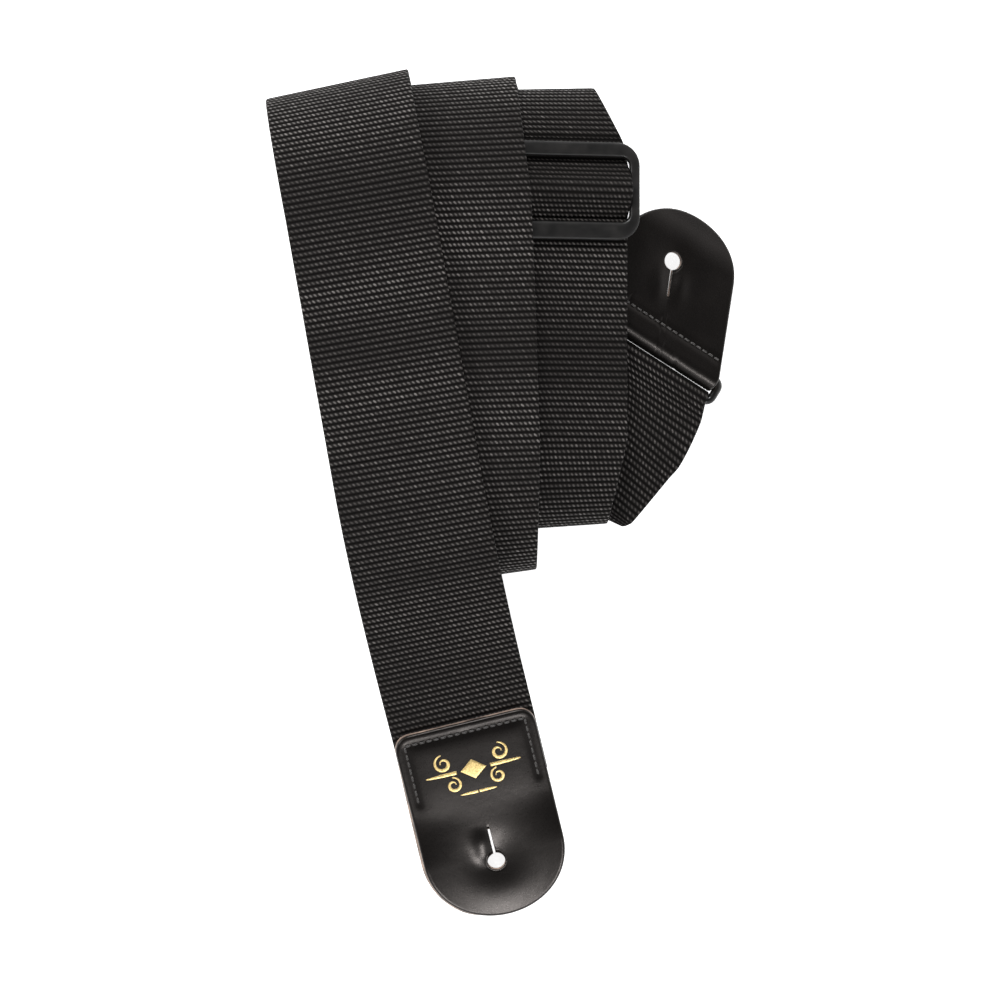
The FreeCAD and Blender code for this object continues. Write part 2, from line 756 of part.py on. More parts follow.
for item in doc.Objects:
    if {"Invalid", "Error"} & set(item.State):
        raise RuntimeError(f"{item.Label} did not recompute: {item.State}")

whole = FreeCAD.BoundBox()
for item in sub_parts:
    whole.add(item.Shape.optimalBoundingBox())
to_origin = Placement(Vector(-whole.Center.x, -whole.Center.y, -whole.ZMin), Rotation())

for item in sub_parts:
    item.Placement = to_origin * item.Placement
doc.recompute()

for item in sub_parts:
    if item.Shape.isNull() or not item.Shape.isValid() or item.Shape.Volume <= 0:
        raise RuntimeError(f"{item.Label} has no valid solid")
    item.Shape.exportStep(os.path.join("parts", item.Label + ".step"))
    box = item.Shape.BoundBox
    print(f"{item.Label:24s} {item.Shape.Volume:10.1f} mm3  x {box.XMin:7.1f} {box.XMax:7.1f}  "
          f"y {box.YMin:7.1f} {box.YMax:7.1f}  z {box.ZMin:6.2f} {box.ZMax:6.2f}")

rear_hole = Vector(0, size("rear_tab_straight") + size("hole_offset"), 0)
rear_hole = Rotation(Vector(0, 0, 1), size("rear_skew")).multVec(rear_hole)
rear_hole.z = 0.5 * (WRAP_INSIDE + WRAP_OUTSIDE)
front_hole = Vector(0, -size("front_tab_straight") - size("hole_offset"), 0)
FLAP_HINGE_ALONG = 118.0
FLAP_HINGE_HEIGHT = 27.0
FLAP_HINGE = Vector(FLAP.at(FLAP_HINGE_ALONG).x, FLAP_HINGE_ALONG, FLAP_HINGE_HEIGHT)
REST_ALONG = 60.0
REST_POINT = Vector(OUTER_BACK.at(REST_ALONG).x, REST_ALONG, 0.0)
places = {
    "front hole": (to_origin * FRONT_TAB, front_hole, Vector(0, 0, 1)),
    "rear hole": (to_origin * REAR_TAB, rear_hole, Vector(0, 0, 1)),
    "flap hinge": (to_origin, FLAP_HINGE, -width_direction(FLAP.lean, 0.0)),
    "front tab hinge": (to_origin * FRONT_TAB, Vector(0, 0, -PLY_STEP), Vector(-1, 0, 0)),
    "slider": (to_origin * SLIDER, Vector(), Vector(0, -1, 0)),
    "rear swing": (to_origin, THIRD_BOTTOM_TURN[QUARTER_STEPS][0], Vector(0, 0, -1)),
    "rear loop bar": (to_origin * REAR_FRAME, Vector(), Vector(1, 0, 0)),
    "rest": (to_origin, REST_POINT, Vector(0, 0, -1)),
}
for name, (place, point, axis) in places.items():
    at, way = place.multVec(point), place.Rotation.multVec(axis)
    print(f"{name:16s} at {at.x:9.4f} {at.y:9.4f} {at.z:9.4f}   "
          f"axis {way.x:9.6f} {way.y:9.6f} {way.z:9.6f}")
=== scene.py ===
"""Guitar strap in woven webbing, with leather tabs, a moulded slide and a wire loop.

The frame gives every place and size. The webbing is traced as one strip through its CAD
sub-parts and cut into pieces where the joints need it.
"""
import json
import math

import bmesh
import bpy
import numpy as np
from mathutils import Matrix, Vector


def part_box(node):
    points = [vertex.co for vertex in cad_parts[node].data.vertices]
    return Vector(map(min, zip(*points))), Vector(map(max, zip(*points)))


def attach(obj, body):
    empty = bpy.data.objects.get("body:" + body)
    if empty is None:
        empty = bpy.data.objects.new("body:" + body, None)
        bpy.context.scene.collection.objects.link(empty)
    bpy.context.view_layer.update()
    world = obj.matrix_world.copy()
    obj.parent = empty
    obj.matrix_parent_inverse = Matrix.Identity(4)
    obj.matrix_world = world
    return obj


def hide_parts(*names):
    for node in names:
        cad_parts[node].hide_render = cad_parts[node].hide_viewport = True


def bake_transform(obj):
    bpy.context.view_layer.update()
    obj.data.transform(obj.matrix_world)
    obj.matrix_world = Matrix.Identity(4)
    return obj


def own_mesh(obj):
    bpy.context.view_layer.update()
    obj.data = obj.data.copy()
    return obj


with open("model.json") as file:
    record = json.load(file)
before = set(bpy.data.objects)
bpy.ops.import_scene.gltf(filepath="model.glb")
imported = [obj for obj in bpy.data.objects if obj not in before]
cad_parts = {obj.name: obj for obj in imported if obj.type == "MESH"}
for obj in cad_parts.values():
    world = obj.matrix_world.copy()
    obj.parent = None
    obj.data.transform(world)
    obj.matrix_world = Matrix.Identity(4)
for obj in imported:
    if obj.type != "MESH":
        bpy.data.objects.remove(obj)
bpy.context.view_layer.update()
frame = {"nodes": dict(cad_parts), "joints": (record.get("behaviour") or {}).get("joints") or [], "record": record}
nodes = frame["nodes"]
joints = {joint["name"]: joint for joint in frame["joints"]}
mounts = {mount["name"]: mount for mount in frame["record"]["mounts"]}
MM = 0.001


# ---- mesh helpers

def new_object(name, verts, faces, shade_smooth=True):
    """Mesh object from vertices and faces."""
    mesh = bpy.data.meshes.new(name)
    mesh.from_pydata([tuple(v) for v in verts], [], faces)
    mesh.validate()
    if shade_smooth:
        mesh.polygons.foreach_set("use_smooth", [True] * len(mesh.polygons))
    obj = bpy.data.objects.new(name, mesh)
    bpy.context.scene.collection.objects.link(obj)
    return obj


def grid_faces(rows, columns, closed_rows=False, closed_columns=False):
    """Quads of a grid whose vertices run row by row."""
    faces = []
    for i in range(rows if closed_rows else rows - 1):
        for j in range(columns if closed_columns else columns - 1):
            here, beyond = i * columns, (i + 1) % rows * columns
            beside = (j + 1) % columns
            faces.append((here + j, here + beside, beyond + beside, beyond + j))
    return faces


def round_the_circle(count):
    """Cosine and sine of evenly spaced directions."""
    return [(math.cos(2 * math.pi * k / count), math.sin(2 * math.pi * k / count)) for k in range(count)]


def smooth(low, high, value):
    """Smooth step from 0 at low to 1 at high."""
    share = min(1.0, max(0.0, (value - low) / (high - low)))
    return share * share * (3 - 2 * share)


def local_frame(origin, x_axis, z_axis):
    """Matrix of a frame with this origin, x exactly along x_axis and z as near z_axis as it can be."""
    x = Vector(x_axis).normalized()
    y = Vector(z_axis).cross(x).normalized()
    z = x.cross(y)
    matrix = Matrix((x, y, z)).transposed().to_4x4()
    matrix.translation = Vector(origin)
    return matrix


def node_points(node, matrix):
    """Vertices of a CAD node in a local frame, in millimetres."""
    inverse = matrix.inverted()
    return np.array([inverse @ v.co for v in nodes[node].data.vertices]) / MM


# ---- path of the webbing

SHARP = math.radians(50)     # an edge of the ribbons bends more than this
STRAP_ORDER = [
    "webbing_sewn_end", "webbing_flap", "webbing_front_fold", "webbing_coil", "webbing_slide_run",
    "webbing_saddle", "webbing_inner_turn", "webbing_rear_run", "webbing_return",
    "webbing_stitched_loop",
]
WIDTH_RANGE = (40, 60)       # an edge across the webbing has a length in this range, mm
THICK_RANGE = (0, 5)         # and an edge through it has one in this
FOLD_TIP = Vector(joints["rear_end_swing"]["pos_m"])
FOLD_STEPS = 6
FOLD_UPPER_RUN = 7.0         # straight part above the rear fold, mm
LAYER_STEP = 1.9             # from the middle of one layer to the next, mm


def sharp_chains(bm):
    """Runs of sharp edges between the corners of the ribbons in a mesh, by starting corner."""
    sharp = {e for e in bm.edges if len(e.link_faces) == 2 and e.calc_face_angle(0.0) > SHARP}
    corners = [v for v in bm.verts if sum(e in sharp for e in v.link_edges) == 3]
    corner_set = set(corners)
    chains = {}
    for corner in corners:
        for edge in corner.link_edges:
            if edge not in sharp:
                continue
            chain, vert, via = [corner], corner, edge
            while True:
                vert = via.other_vert(vert)
                chain.append(vert)
                if vert in corner_set:
                    break
                via = next(e for e in vert.link_edges if e in sharp and e is not via)
            chains.setdefault(corner, []).append(chain)
    return corners, chains


def partner(chains, low, high):
    """Corner at the far end of the single edge whose length lies between low and high, in mm."""
    for chain in chains:
        length = (chain[0].co - chain[1].co).length / MM
        if len(chain) == 2 and low < length < high:
            return chain[1]


def ribbon_runs(node):
    """Each ribbon of a CAD node as stations (centre, direction across), from one end to the other."""
    bm = bmesh.new()
    bm.from_mesh(nodes[node].data)
    bmesh.ops.remove_doubles(bm, verts=bm.verts, dist=1e-6)
    corners, chains = sharp_chains(bm)
    runs, used = [], set()
    for corner in corners:
        if corner in used:
            continue
        far_side = partner(chains[corner], *WIDTH_RANGE)
        four = [corner, partner(chains[corner], *THICK_RANGE)]
        four += [far_side, partner(chains[far_side], *THICK_RANGE)]
        lines = [max(chains[vert], key=len) for vert in four]
        used.update(four)
        used.update(line[-1] for line in lines)
        run = []
        for a, b, c, d in zip(*lines):
            centre = (a.co + b.co + c.co + d.co) / 4
            run.append((centre.copy(), (c.co + d.co - a.co - b.co).normalized()))
        runs.append(run)
    bm.free()
    return runs


def fold_between(lower, upper, upper_heading, shift):
    """Stations of the rear fold: a quarter ellipse up to its tip, and another on to the rear run.

    lower and upper are the stations it joins, and shift moves the tip towards -Y.
    """
    tip = FOLD_TIP - Vector((0, shift, 0))
    reach = (upper[0].y - tip.y) - FOLD_UPPER_RUN * MM
    foot = upper[0] - upper_heading * (reach / upper_heading.y)
    across_low = lower[1]
    across_high = upper[1] if upper[1].dot(lower[1]) > 0 else -upper[1]
    stations = []
    for step in range(1, 2 * FOLD_STEPS + 1):
        angle = math.pi / 2 * step / FOLD_STEPS
        start = lower[0] if step <= FOLD_STEPS else foot
        forward = math.sin(angle) if step <= FOLD_STEPS else math.sin(math.pi - angle)
        height = 1 - abs(math.cos(angle))
        point = start + (tip - start) * forward
        point.z = start.z + (tip.z - start.z) * height
        share = step / (2 * FOLD_STEPS)
        stations.append((point, across_low.lerp(across_high, share).normalized()))
    return stations


def trace_strap():
    """Stations of the whole strap in order, and where each sub-part starts and ends."""
    runs = {node: ribbon_runs(node)[0] for node in STRAP_ORDER}
    start = runs["webbing_sewn_end"]
    if start[0][0].y > start[-1][0].y:
        start.reverse()
    if runs["webbing_rear_run"][0][0].z < runs["webbing_rear_run"][-1][0].z:
        runs["webbing_rear_run"].reverse()
    stations, spans = [], []

    def extend(name, run):
        spans.append((name, len(stations), len(stations) + len(run) - 1))
        stations.extend(run)

    for node in STRAP_ORDER:
        run = runs[node]
        here = stations[-1][0] if stations else run[0][0]
        if node != "webbing_rear_run" and (run[-1][0] - here).length < (run[0][0] - here).length:
            run = run[::-1]
        if node == "webbing_rear_run":
            heading = (run[1][0] - run[0][0]).normalized()
            extend("outer_fold", fold_between(stations[-1], run[0], heading, LAYER_STEP / 2 * MM))
        if node == "webbing_return":
            end = stations[-1]
            heading = (stations[-2][0] - end[0]).normalized()
            extend("inner_fold", fold_between(run[0], end, heading, -LAYER_STEP / 2 * MM)[::-1])
        extend(node, run)
    across = [stations[0][1] if stations[0][1].x > 0 else -stations[0][1]]
    for _, direction in stations[1:]:
        across.append(direction if direction.dot(across[-1]) > 0 else -direction)
    return np.array([s[0] for s in stations]), np.array(across), spans


class Strap:
    """The middle line of the strap as a smooth curve, by length from the front tab."""

    def __init__(self):
        self.centres, self.across, self.spans = trace_strap()
        steps = np.linalg.norm(np.diff(self.centres, axis=0), axis=1)
        self.knots = np.concatenate([[0.0], np.cumsum(steps)])
        inner = (self.centres[2:] - self.centres[:-2]) / (steps[:-1] + steps[1:])[:, None]
        first = (self.centres[1] - self.centres[0]) / steps[0]
        last = (self.centres[-1] - self.centres[-2]) / steps[-1]
        self.slopes = np.vstack([first, inner, last])

    def span(self, node):
        """Lengths at which a sub-part starts and ends."""
        first, last = next((a, b) for name, a, b in self.spans if name == node)
        return self.knots[first], self.knots[last]

    def middle(self, length):
        """Centre point at one length."""
        return Vector(self.at(np.array([length]))[0][0])

    def at(self, lengths):
        """Centres, across directions and outward normals at these lengths."""
        i = np.clip(np.searchsorted(self.knots, lengths, side="right") - 1, 0, len(self.knots) - 2)
        width = self.knots[i + 1] - self.knots[i]
        t = ((lengths - self.knots[i]) / width)[:, None]
        width = width[:, None]
        a, b = self.centres[i], self.centres[i + 1]
        ma, mb = self.slopes[i] * width, self.slopes[i + 1] * width
        centre = (
            (2*t**3 - 3*t**2 + 1) * a + (t**3 - 2*t**2 + t) * ma
            + (3*t**2 - 2*t**3) * b + (t**3 - t**2) * mb
        )
        heading = (6*t**2 - 6*t) * (a - b) + (3*t**2 - 4*t + 1) * ma + (3*t**2 - 2*t) * mb
        across = self.across[i] * (1 - t) + self.across[i + 1] * t
        up = np.cross(across, heading)
        up /= np.linalg.norm(up, axis=1)[:, None]
        across /= np.linalg.norm(across, axis=1)[:, None]
        return centre, across, up


# ---- woven ribbon

ROW = 2.05            # spacing of the picks along the webbing, mm
END = 1.58            # spacing of the bundles across it, mm
RELIEF = 0.34         # depth of the weave, mm
WEBBING_THICK = 1.5   # mm
SELVEDGE = 23.8       # the cord along each edge starts here, mm from the middle
ROW_STEPS = 4         # cross-sections to each row
HALF_SECTION = np.array(
    [-24.75, -24.3, -SELVEDGE, -23.4, *np.linspace(-22.0, 22.0, 17), 23.4, SELVEDGE, 24.3, 24.75]
)
EDGE_U = [25.12, 25.2, 25.12]
EDGE_Z = [0.32, 0.0, -0.32]


def weave_height(u, v):
    """Height of the weave, 0 to 1: a rounded ridge for each row, and a cord along each edge."""
    t = 2 * (v / ROW - np.floor(v / ROW)) - 1
    crown = np.sqrt(1 - 0.96 * t**2)
    return np.where(np.abs(u) > SELVEDGE, 0.25 + 0.6 * crown, crown)


def ribbon_object(name, ranges, relief):
    """Woven webbing over one or more ranges of the strap's length."""
    ring_u = np.concatenate([HALF_SECTION, EDGE_U, HALF_SECTION[::-1], np.negative(EDGE_U)])
    level = WEBBING_THICK / 2 - 0.5 * RELIEF
    step = ROW / ROW_STEPS
    verts, faces, uvs = [], [], []
    for low, high in ranges:
        low_row, high_row = math.ceil(low / MM / step) + 1, math.floor(high / MM / step) - 1
        inner = [k * ROW / ROW_STEPS * MM for k in range(low_row, high_row + 1)]
        lengths = np.array([low] + inner + [high])
        centre, side, up = strap.at(lengths)
        v = (lengths / MM)[:, None]
        top = level + relief * (weave_height(HALF_SECTION[None, :], v) - 0.5)
        bottom = -level - relief * (weave_height(HALF_SECTION[None, ::-1], v) - 0.5)
        edge = np.tile(EDGE_Z, (len(lengths), 1))
        ring_z = np.hstack([top, edge, bottom, -edge])
        points = (
            centre[:, None, :]
            + side[:, None, :] * ring_u[None, :, None] * MM
            + up[:, None, :] * ring_z[:, :, None] * MM
        )
        base, count = len(verts), len(ring_u)
        verts += list(points.reshape(-1, 3))
        uvs += [(u, length) for length in v[:, 0] for u in ring_u]
        for a, b, c, d in grid_faces(len(lengths), count, closed_columns=True):
            faces.append((base + a, base + b, base + c, base + d))
        faces.append(tuple(base + k for k in range(count))[::-1])
        faces.append(tuple(base + (len(lengths) - 1) * count + k for k in range(count)))
    obj = new_object(name, verts, faces)
    layer = obj.data.uv_layers.new(name="weave")
    index = np.empty(len(obj.data.loops), dtype=np.int32)
    obj.data.loops.foreach_get("vertex_index", index)
    layer.data.foreach_set("uv", np.array(uvs, dtype=np.float32)[index].ravel())
    return obj


# ---- materials

class Shader:
    """Short-hand for building a node material; most methods return the socket of their result."""

    def __init__(self, name):
        self.material = bpy.data.materials.new(name)
        self.material.use_nodes = True
        self.tree = self.material.node_tree
        self.principled = self.tree.nodes["Principled BSDF"]

    def add(self, kind, **settings):
        node = self.tree.nodes.new(kind)
        for key, value in settings.items():
            setattr(node, key, value)
        return node

    def feed(self, target, value):
        """Join a socket to an input, or set the input to a number."""
        if isinstance(value, bpy.types.NodeSocket):
            self.tree.links.new(value, target)
        else:
            target.default_value = value

    def math(self, operation, *values):
        node = self.add("ShaderNodeMath", operation=operation)
        for target, value in zip(node.inputs, values):
            self.feed(target, value)
        return node.outputs[0]

    def power(self, value, exponent):
        return self.math("POWER", value, exponent)

    def size_of(self, value):
        return self.math("ABSOLUTE", value)

    def times(self, a, b):
        return self.math("MULTIPLY", a, b)

    def plus(self, a, b):
        return self.math("ADD", a, b)

    def linear(self, value, slope, start):
        return self.math("MULTIPLY_ADD", value, slope, start)

    def flat_point(self, x, y):
        node = self.add("ShaderNodeCombineXYZ")
        self.feed(node.inputs[0], x)
        self.feed(node.inputs[1], y)
        return node.outputs[0]

    def noise(self, vector, scale, detail=4.0, roughness=0.5):
        node = self.add("ShaderNodeTexNoise")
        self.feed(node.inputs["Vector"], vector)
        node.inputs["Scale"].default_value = scale
        node.inputs["Detail"].default_value = detail
        node.inputs["Roughness"].default_value = roughness
        return node.outputs["Fac"]

    def ramp(self, value, stops):
        """Colour ramp through (position, colour) stops."""
        node = self.add("ShaderNodeValToRGB")
        elements = node.color_ramp.elements
        while len(elements) < len(stops):
            elements.new(0.5)
        for element, (position, colour) in zip(elements, stops):
            element.position = position
            element.color = (*colour, 1.0)
        self.feed(node.inputs[0], value)
        return node.outputs["Color"]

    def map_range(self, value, low, high, to_low, to_high):
        node = self.add("ShaderNodeMapRange")
        for target, number in zip(node.inputs, (value, low, high, to_low, to_high)):
            self.feed(target, number)
        return node.outputs[0]

    def bump(self, height, distance, strength=1.0, normal=None):
        node = self.add("ShaderNodeBump")
        node.inputs["Strength"].default_value = strength
        node.inputs["Distance"].default_value = distance
        self.feed(node.inputs["Height"], height)
        if normal is not None:
            self.feed(node.inputs["Normal"], normal)
        return node.outputs[0]

    def object_place(self):
        return self.add("ShaderNodeTexCoord").outputs["Object"]

    def surface(self, **inputs):
        for name, value in inputs.items():
            self.feed(self.principled.inputs[name.replace("_", " ")], value)
        return self.material


def webbing_material(name, along_y_offset=None):
    """Black woven webbing: glossy bundles in staggered rows, each with a painted highlight, painted shade in the
    gaps, and soft painted bands of light and shade.

    The weave follows the strap's own lengths. With along_y_offset it follows +Y instead, for a
    piece that stretches or gathers as the slide moves.
    """
    shader = Shader(name)
    uv = shader.add("ShaderNodeUVMap", uv_map="weave").outputs[0]
    split = shader.add("ShaderNodeSeparateXYZ")
    shader.feed(split.inputs[0], uv)
    u, v = split.outputs[0], split.outputs[1]
    if along_y_offset is not None:
        place = shader.add("ShaderNodeSeparateXYZ")
        shader.feed(place.inputs[0], shader.object_place())
        v = shader.math("MULTIPLY_ADD", place.outputs[1], 1.0 / MM, along_y_offset)
    wander = shader.noise(shader.flat_point(shader.times(u, 0.21), shader.times(v, 0.16)), 1.0, detail=3.0)
    rows = shader.math("DIVIDE", v, ROW)
    row = shader.math("FLOOR", rows)
    stagger = shader.linear(shader.math("PINGPONG", row, 1.0), 0.5, 0.5)
    shifted = shader.linear(shader.math("SUBTRACT", wander, 0.5), 0.8, u)
    ends = shader.linear(shifted, 1.0 / END, stagger)
    end = shader.math("FLOOR", ends)
    t = shader.linear(shader.math("FRACT", rows), 2.0, -1.0)
    s = shader.linear(shader.math("FRACT", ends), 2.0, -1.0)
    crown = shader.math("SUBTRACT", 1.0, shader.power(shader.size_of(t), 1.8))

    # Each bundle's painted highlight shows as a slanted dash: an ellipse in the bundle's own s and t.
    tilted = shader.plus(t, shader.times(s, 0.45))
    wide = shader.math("DIVIDE", shader.size_of(s), 0.86)
    tall = shader.math("DIVIDE", shader.size_of(tilted), 0.52)
    far = shader.plus(shader.power(wide, 2.0), shader.power(tall, 2.0))
    dash = shader.math("MAXIMUM", shader.math("SUBTRACT", 1.0, far), 0.0)

    # The painted highlight's brightness varies by bundle, by filament and by the twill's diagonals, and it is
    # painted lighter and darker in slow bands that stand in for the webbing's sag.
    yarn = shader.noise(shader.flat_point(end, row), 7.31, detail=0.0)
    third = shader.math("FRACT", shader.math("DIVIDE", shader.plus(end, row), 3.0))
    twill = shader.math("LESS_THAN", third, 0.3)
    vivid = shader.times(shader.map_range(yarn, 0.3, 0.7, 0.65, 1.15), shader.linear(twill, 0.22, 0.68))
    filaments = shader.noise(shader.flat_point(shader.times(u, 1.2), shader.times(v, 5.0)), 1.0, detail=2.0)
    # Slow noise that paints bands of light and shade into the colour, in place of the shading a real sag would
    # give.
    painted_sag_bands = shader.noise(shader.flat_point(shader.times(u, 0.008), shader.times(v, 0.026)), 1.0, detail=2.0)
    painted_highlight = shader.times(shader.times(dash, vivid), shader.map_range(filaments, 0.35, 0.65, 0.6, 1.2))
    painted_highlight = shader.times(painted_highlight, shader.map_range(painted_sag_bands, 0.36, 0.64, 0.42, 1.25))

    height = shader.times(crown, shader.linear(dash, 0.5, 0.5))
    normal = shader.bump(shader.plus(height, shader.times(filaments, 0.22)), 0.30 * MM, 1.0)
    # The colour paints light: painted shade in the gaps between rows and a painted highlight on each dash.
    painted_shade_and_highlight = shader.linear(crown, 0.22, shader.times(painted_highlight, 0.78))
    colour = shader.ramp(painted_shade_and_highlight, [(0.0, (0.0014, 0.0012, 0.0011)), (0.20, (0.0085, 0.0074, 0.0069)),
                                (0.5, (0.034, 0.0295, 0.0270)), (0.85, (0.125, 0.113, 0.106))])
    rough = shader.map_range(painted_shade_and_highlight, 0.1, 0.8, 0.85, 0.38)
    shine = shader.map_range(painted_shade_and_highlight, 0.1, 0.6, 0.08, 0.50)
    return shader.surface(Base_Color=colour, Roughness=rough, Normal=normal, Specular_IOR_Level=shine)


def leather_material():
    """Smooth black leather with a fine pebbled grain and faint creases."""
    shader = Shader("leather_black")
    place = shader.object_place()
    cells = shader.add("ShaderNodeTexVoronoi", feature="F1")
    shader.feed(cells.inputs["Vector"], place)
    cells.inputs["Scale"].default_value = 1300.0
    pores = shader.noise(place, 2600.0, detail=3.0)
    waves = shader.noise(place, 90.0, detail=5.0)
    grain = shader.plus(shader.times(cells.outputs["Distance"], 0.6), shader.times(pores, 0.5))
    fine = shader.bump(grain, 0.03 * MM, 0.35)
    normal = shader.bump(waves, 0.35 * MM, 0.25, fine)
    colour = shader.ramp(waves, [(0.3, (0.0022, 0.0019, 0.0018)), (0.7, (0.0045, 0.0039, 0.0036))])
    rough = shader.map_range(pores, 0.2, 0.8, 0.25, 0.34)
    return shader.surface(Base_Color=colour, Roughness=rough, Normal=normal, Specular_IOR_Level=0.32,
                          Specular_Tint=(1.0, 0.92, 0.88, 1.0))


def raw_edge_material():
    """Cut edge of the leather: fibrous, dyed unevenly, with the pale core showing."""
    shader = Shader("leather_raw_edge")
    place = shader.object_place()
    fibres = shader.noise(place, 1400.0, detail=6.0, roughness=0.7)
    patches = shader.noise(place, 160.0, detail=3.0)
    dyed = shader.linear(patches, 0.7, shader.times(fibres, 0.3))
    colour = shader.ramp(dyed, [(0.35, (0.05, 0.034, 0.027)), (0.6, (0.33, 0.24, 0.19)),
                                (0.8, (0.55, 0.44, 0.36))])
    return shader.surface(Base_Color=colour, Roughness=0.85, Normal=shader.bump(fibres, 0.12 * MM, 0.8))


def flesh_material():
    """Back of the leather: matt, fibrous and dark brown."""
    shader = Shader("leather_flesh")
    place = shader.object_place()
    fibres = shader.noise(place, 1100.0, detail=6.0, roughness=0.75)
    colour = shader.ramp(fibres, [(0.3, (0.012, 0.009, 0.008)), (0.7, (0.045, 0.034, 0.029))])
    return shader.surface(Base_Color=colour, Roughness=0.95, Normal=shader.bump(fibres, 0.15 * MM, 0.9))


def plastic_material():
    """Satin black moulded plastic with a fine spark-eroded texture."""
    shader = Shader("plastic_satin_black")
    place = shader.object_place()
    speckle = shader.noise(place, 3500.0, detail=2.0)
    wear = shader.noise(place, 220.0, detail=4.0)
    colour = shader.ramp(wear, [(0.35, (0.004, 0.0038, 0.0037)), (0.7, (0.009, 0.008, 0.0075))])
    rough = shader.map_range(wear, 0.3, 0.7, 0.36, 0.48)
    return shader.surface(Base_Color=colour, Roughness=rough, Normal=shader.bump(speckle, 0.02 * MM, 0.25),
                          Specular_IOR_Level=0.40)


def coated_wire_material():
    """Black coated steel, slightly orange-peeled, with rubbed patches."""
    shader = Shader("wire_black_coat")
    place = shader.object_place()
    peel = shader.noise(place, 900.0, detail=1.0)
    rub = shader.noise(place, 140.0, detail=5.0)
    colour = shader.ramp(rub, [(0.45, (0.012, 0.012, 0.012)), (0.8, (0.05, 0.048, 0.045))])
    return shader.surface(Base_Color=colour, Roughness=0.28, Metallic=0.3,
                          Normal=shader.bump(peel, 0.03 * MM, 0.5))


def thread_material():
    """Black bonded thread, twisted."""
    shader = Shader("thread_black")
    place = shader.object_place()
    twist = shader.add("ShaderNodeTexWave", wave_type="BANDS", bands_direction="DIAGONAL")
    shader.feed(twist.inputs["Vector"], place)
    twist.inputs["Scale"].default_value = 900.0
    colour = shader.ramp(twist.outputs["Fac"], [(0.2, (0.012, 0.011, 0.011)), (0.8, (0.06, 0.055, 0.052))])
    return shader.surface(Base_Color=colour, Roughness=0.5,
                          Normal=shader.bump(twist.outputs["Fac"], 0.06 * MM, 0.7))


def foil_material():
    """Gold foil, stamped into the grain and worn in small specks."""
    shader = Shader("foil_gold")
    place = shader.object_place()
    speckle = shader.noise(place, 1800.0, detail=4.0)
    colour = shader.ramp(speckle, [(0.3, (0.42, 0.30, 0.11)), (0.6, (0.80, 0.60, 0.26))])
    return shader.surface(Base_Color=colour, Roughness=0.36, Metallic=0.75,
                          Normal=shader.bump(speckle, 0.05 * MM, 0.5))


# ---- leather tabs

RAW_EDGE, FLESH = 1, 2     # material slots; slot 0 is the grain side
LEATHER_HALF = 1.4         # half the thickness, mm
EDGE_ROUND = 0.9           # roundings of the upper edge, the lower edge and the hole
LOWER_ROUND = 0.5
HOLE_ROUND = 0.35
LOWER_RELIEF = 0.35        # how much of the relief shows on the back
TAB_HALF = 25.0
HOLE_RADIUS, SLIT_END, SLIT_HALF = 3.1, 12.5, 0.4


class Keyhole:
    """Button hole with a slit towards +Y, as a distance from its centre by direction."""

    def __init__(self, radius, slit_end, slit_half, turn=0.0):
        self.radius, self.slit_end, self.slit_half, self.turn = radius, slit_end, slit_half, turn

    def reach(self, angle):
        off_slit = abs((angle - self.turn - math.pi / 2 + math.pi) % (2 * math.pi) - math.pi)
        if off_slit >= math.pi / 2:
            return self.radius
        along_side = self.slit_half / max(math.sin(off_slit), 1e-6)
        return max(self.radius, min(self.slit_end, along_side))

    def angles(self, count):
        """Directions round the hole, closer together near the slit."""
        centre = self.turn + math.pi / 2
        close = [math.radians(a) for a in (0.0, 0.6, 1.2, 1.8, 2.3, 3.0, 4.0, 5.5, 7.4, 9.5, 12.0)]
        rest = [close[-1] + (2 * math.pi - 2 * close[-1]) * k / count for k in range(1, count)]
        both = close + rest + [2 * math.pi - a for a in close[:0:-1]]
        return [centre + a for a in both]


def reach_outline(outline, angle):
    """Distance from the origin to a closed polygon in a direction."""
    heading = np.array([math.cos(angle), math.sin(angle)])
    best = None
    for a, b in zip(outline, np.roll(outline, -1, axis=0)):
        edge = b - a
        cross = heading[0] * edge[1] - heading[1] * edge[0]
        if abs(cross) < 1e-12:
            continue
        distance = (a[0] * edge[1] - a[1] * edge[0]) / cross
        share = (a[0] * heading[1] - a[1] * heading[0]) / cross
        if distance > 0 and -1e-9 <= share <= 1 + 1e-9 and (best is None or distance > best):
            best = distance
    return best


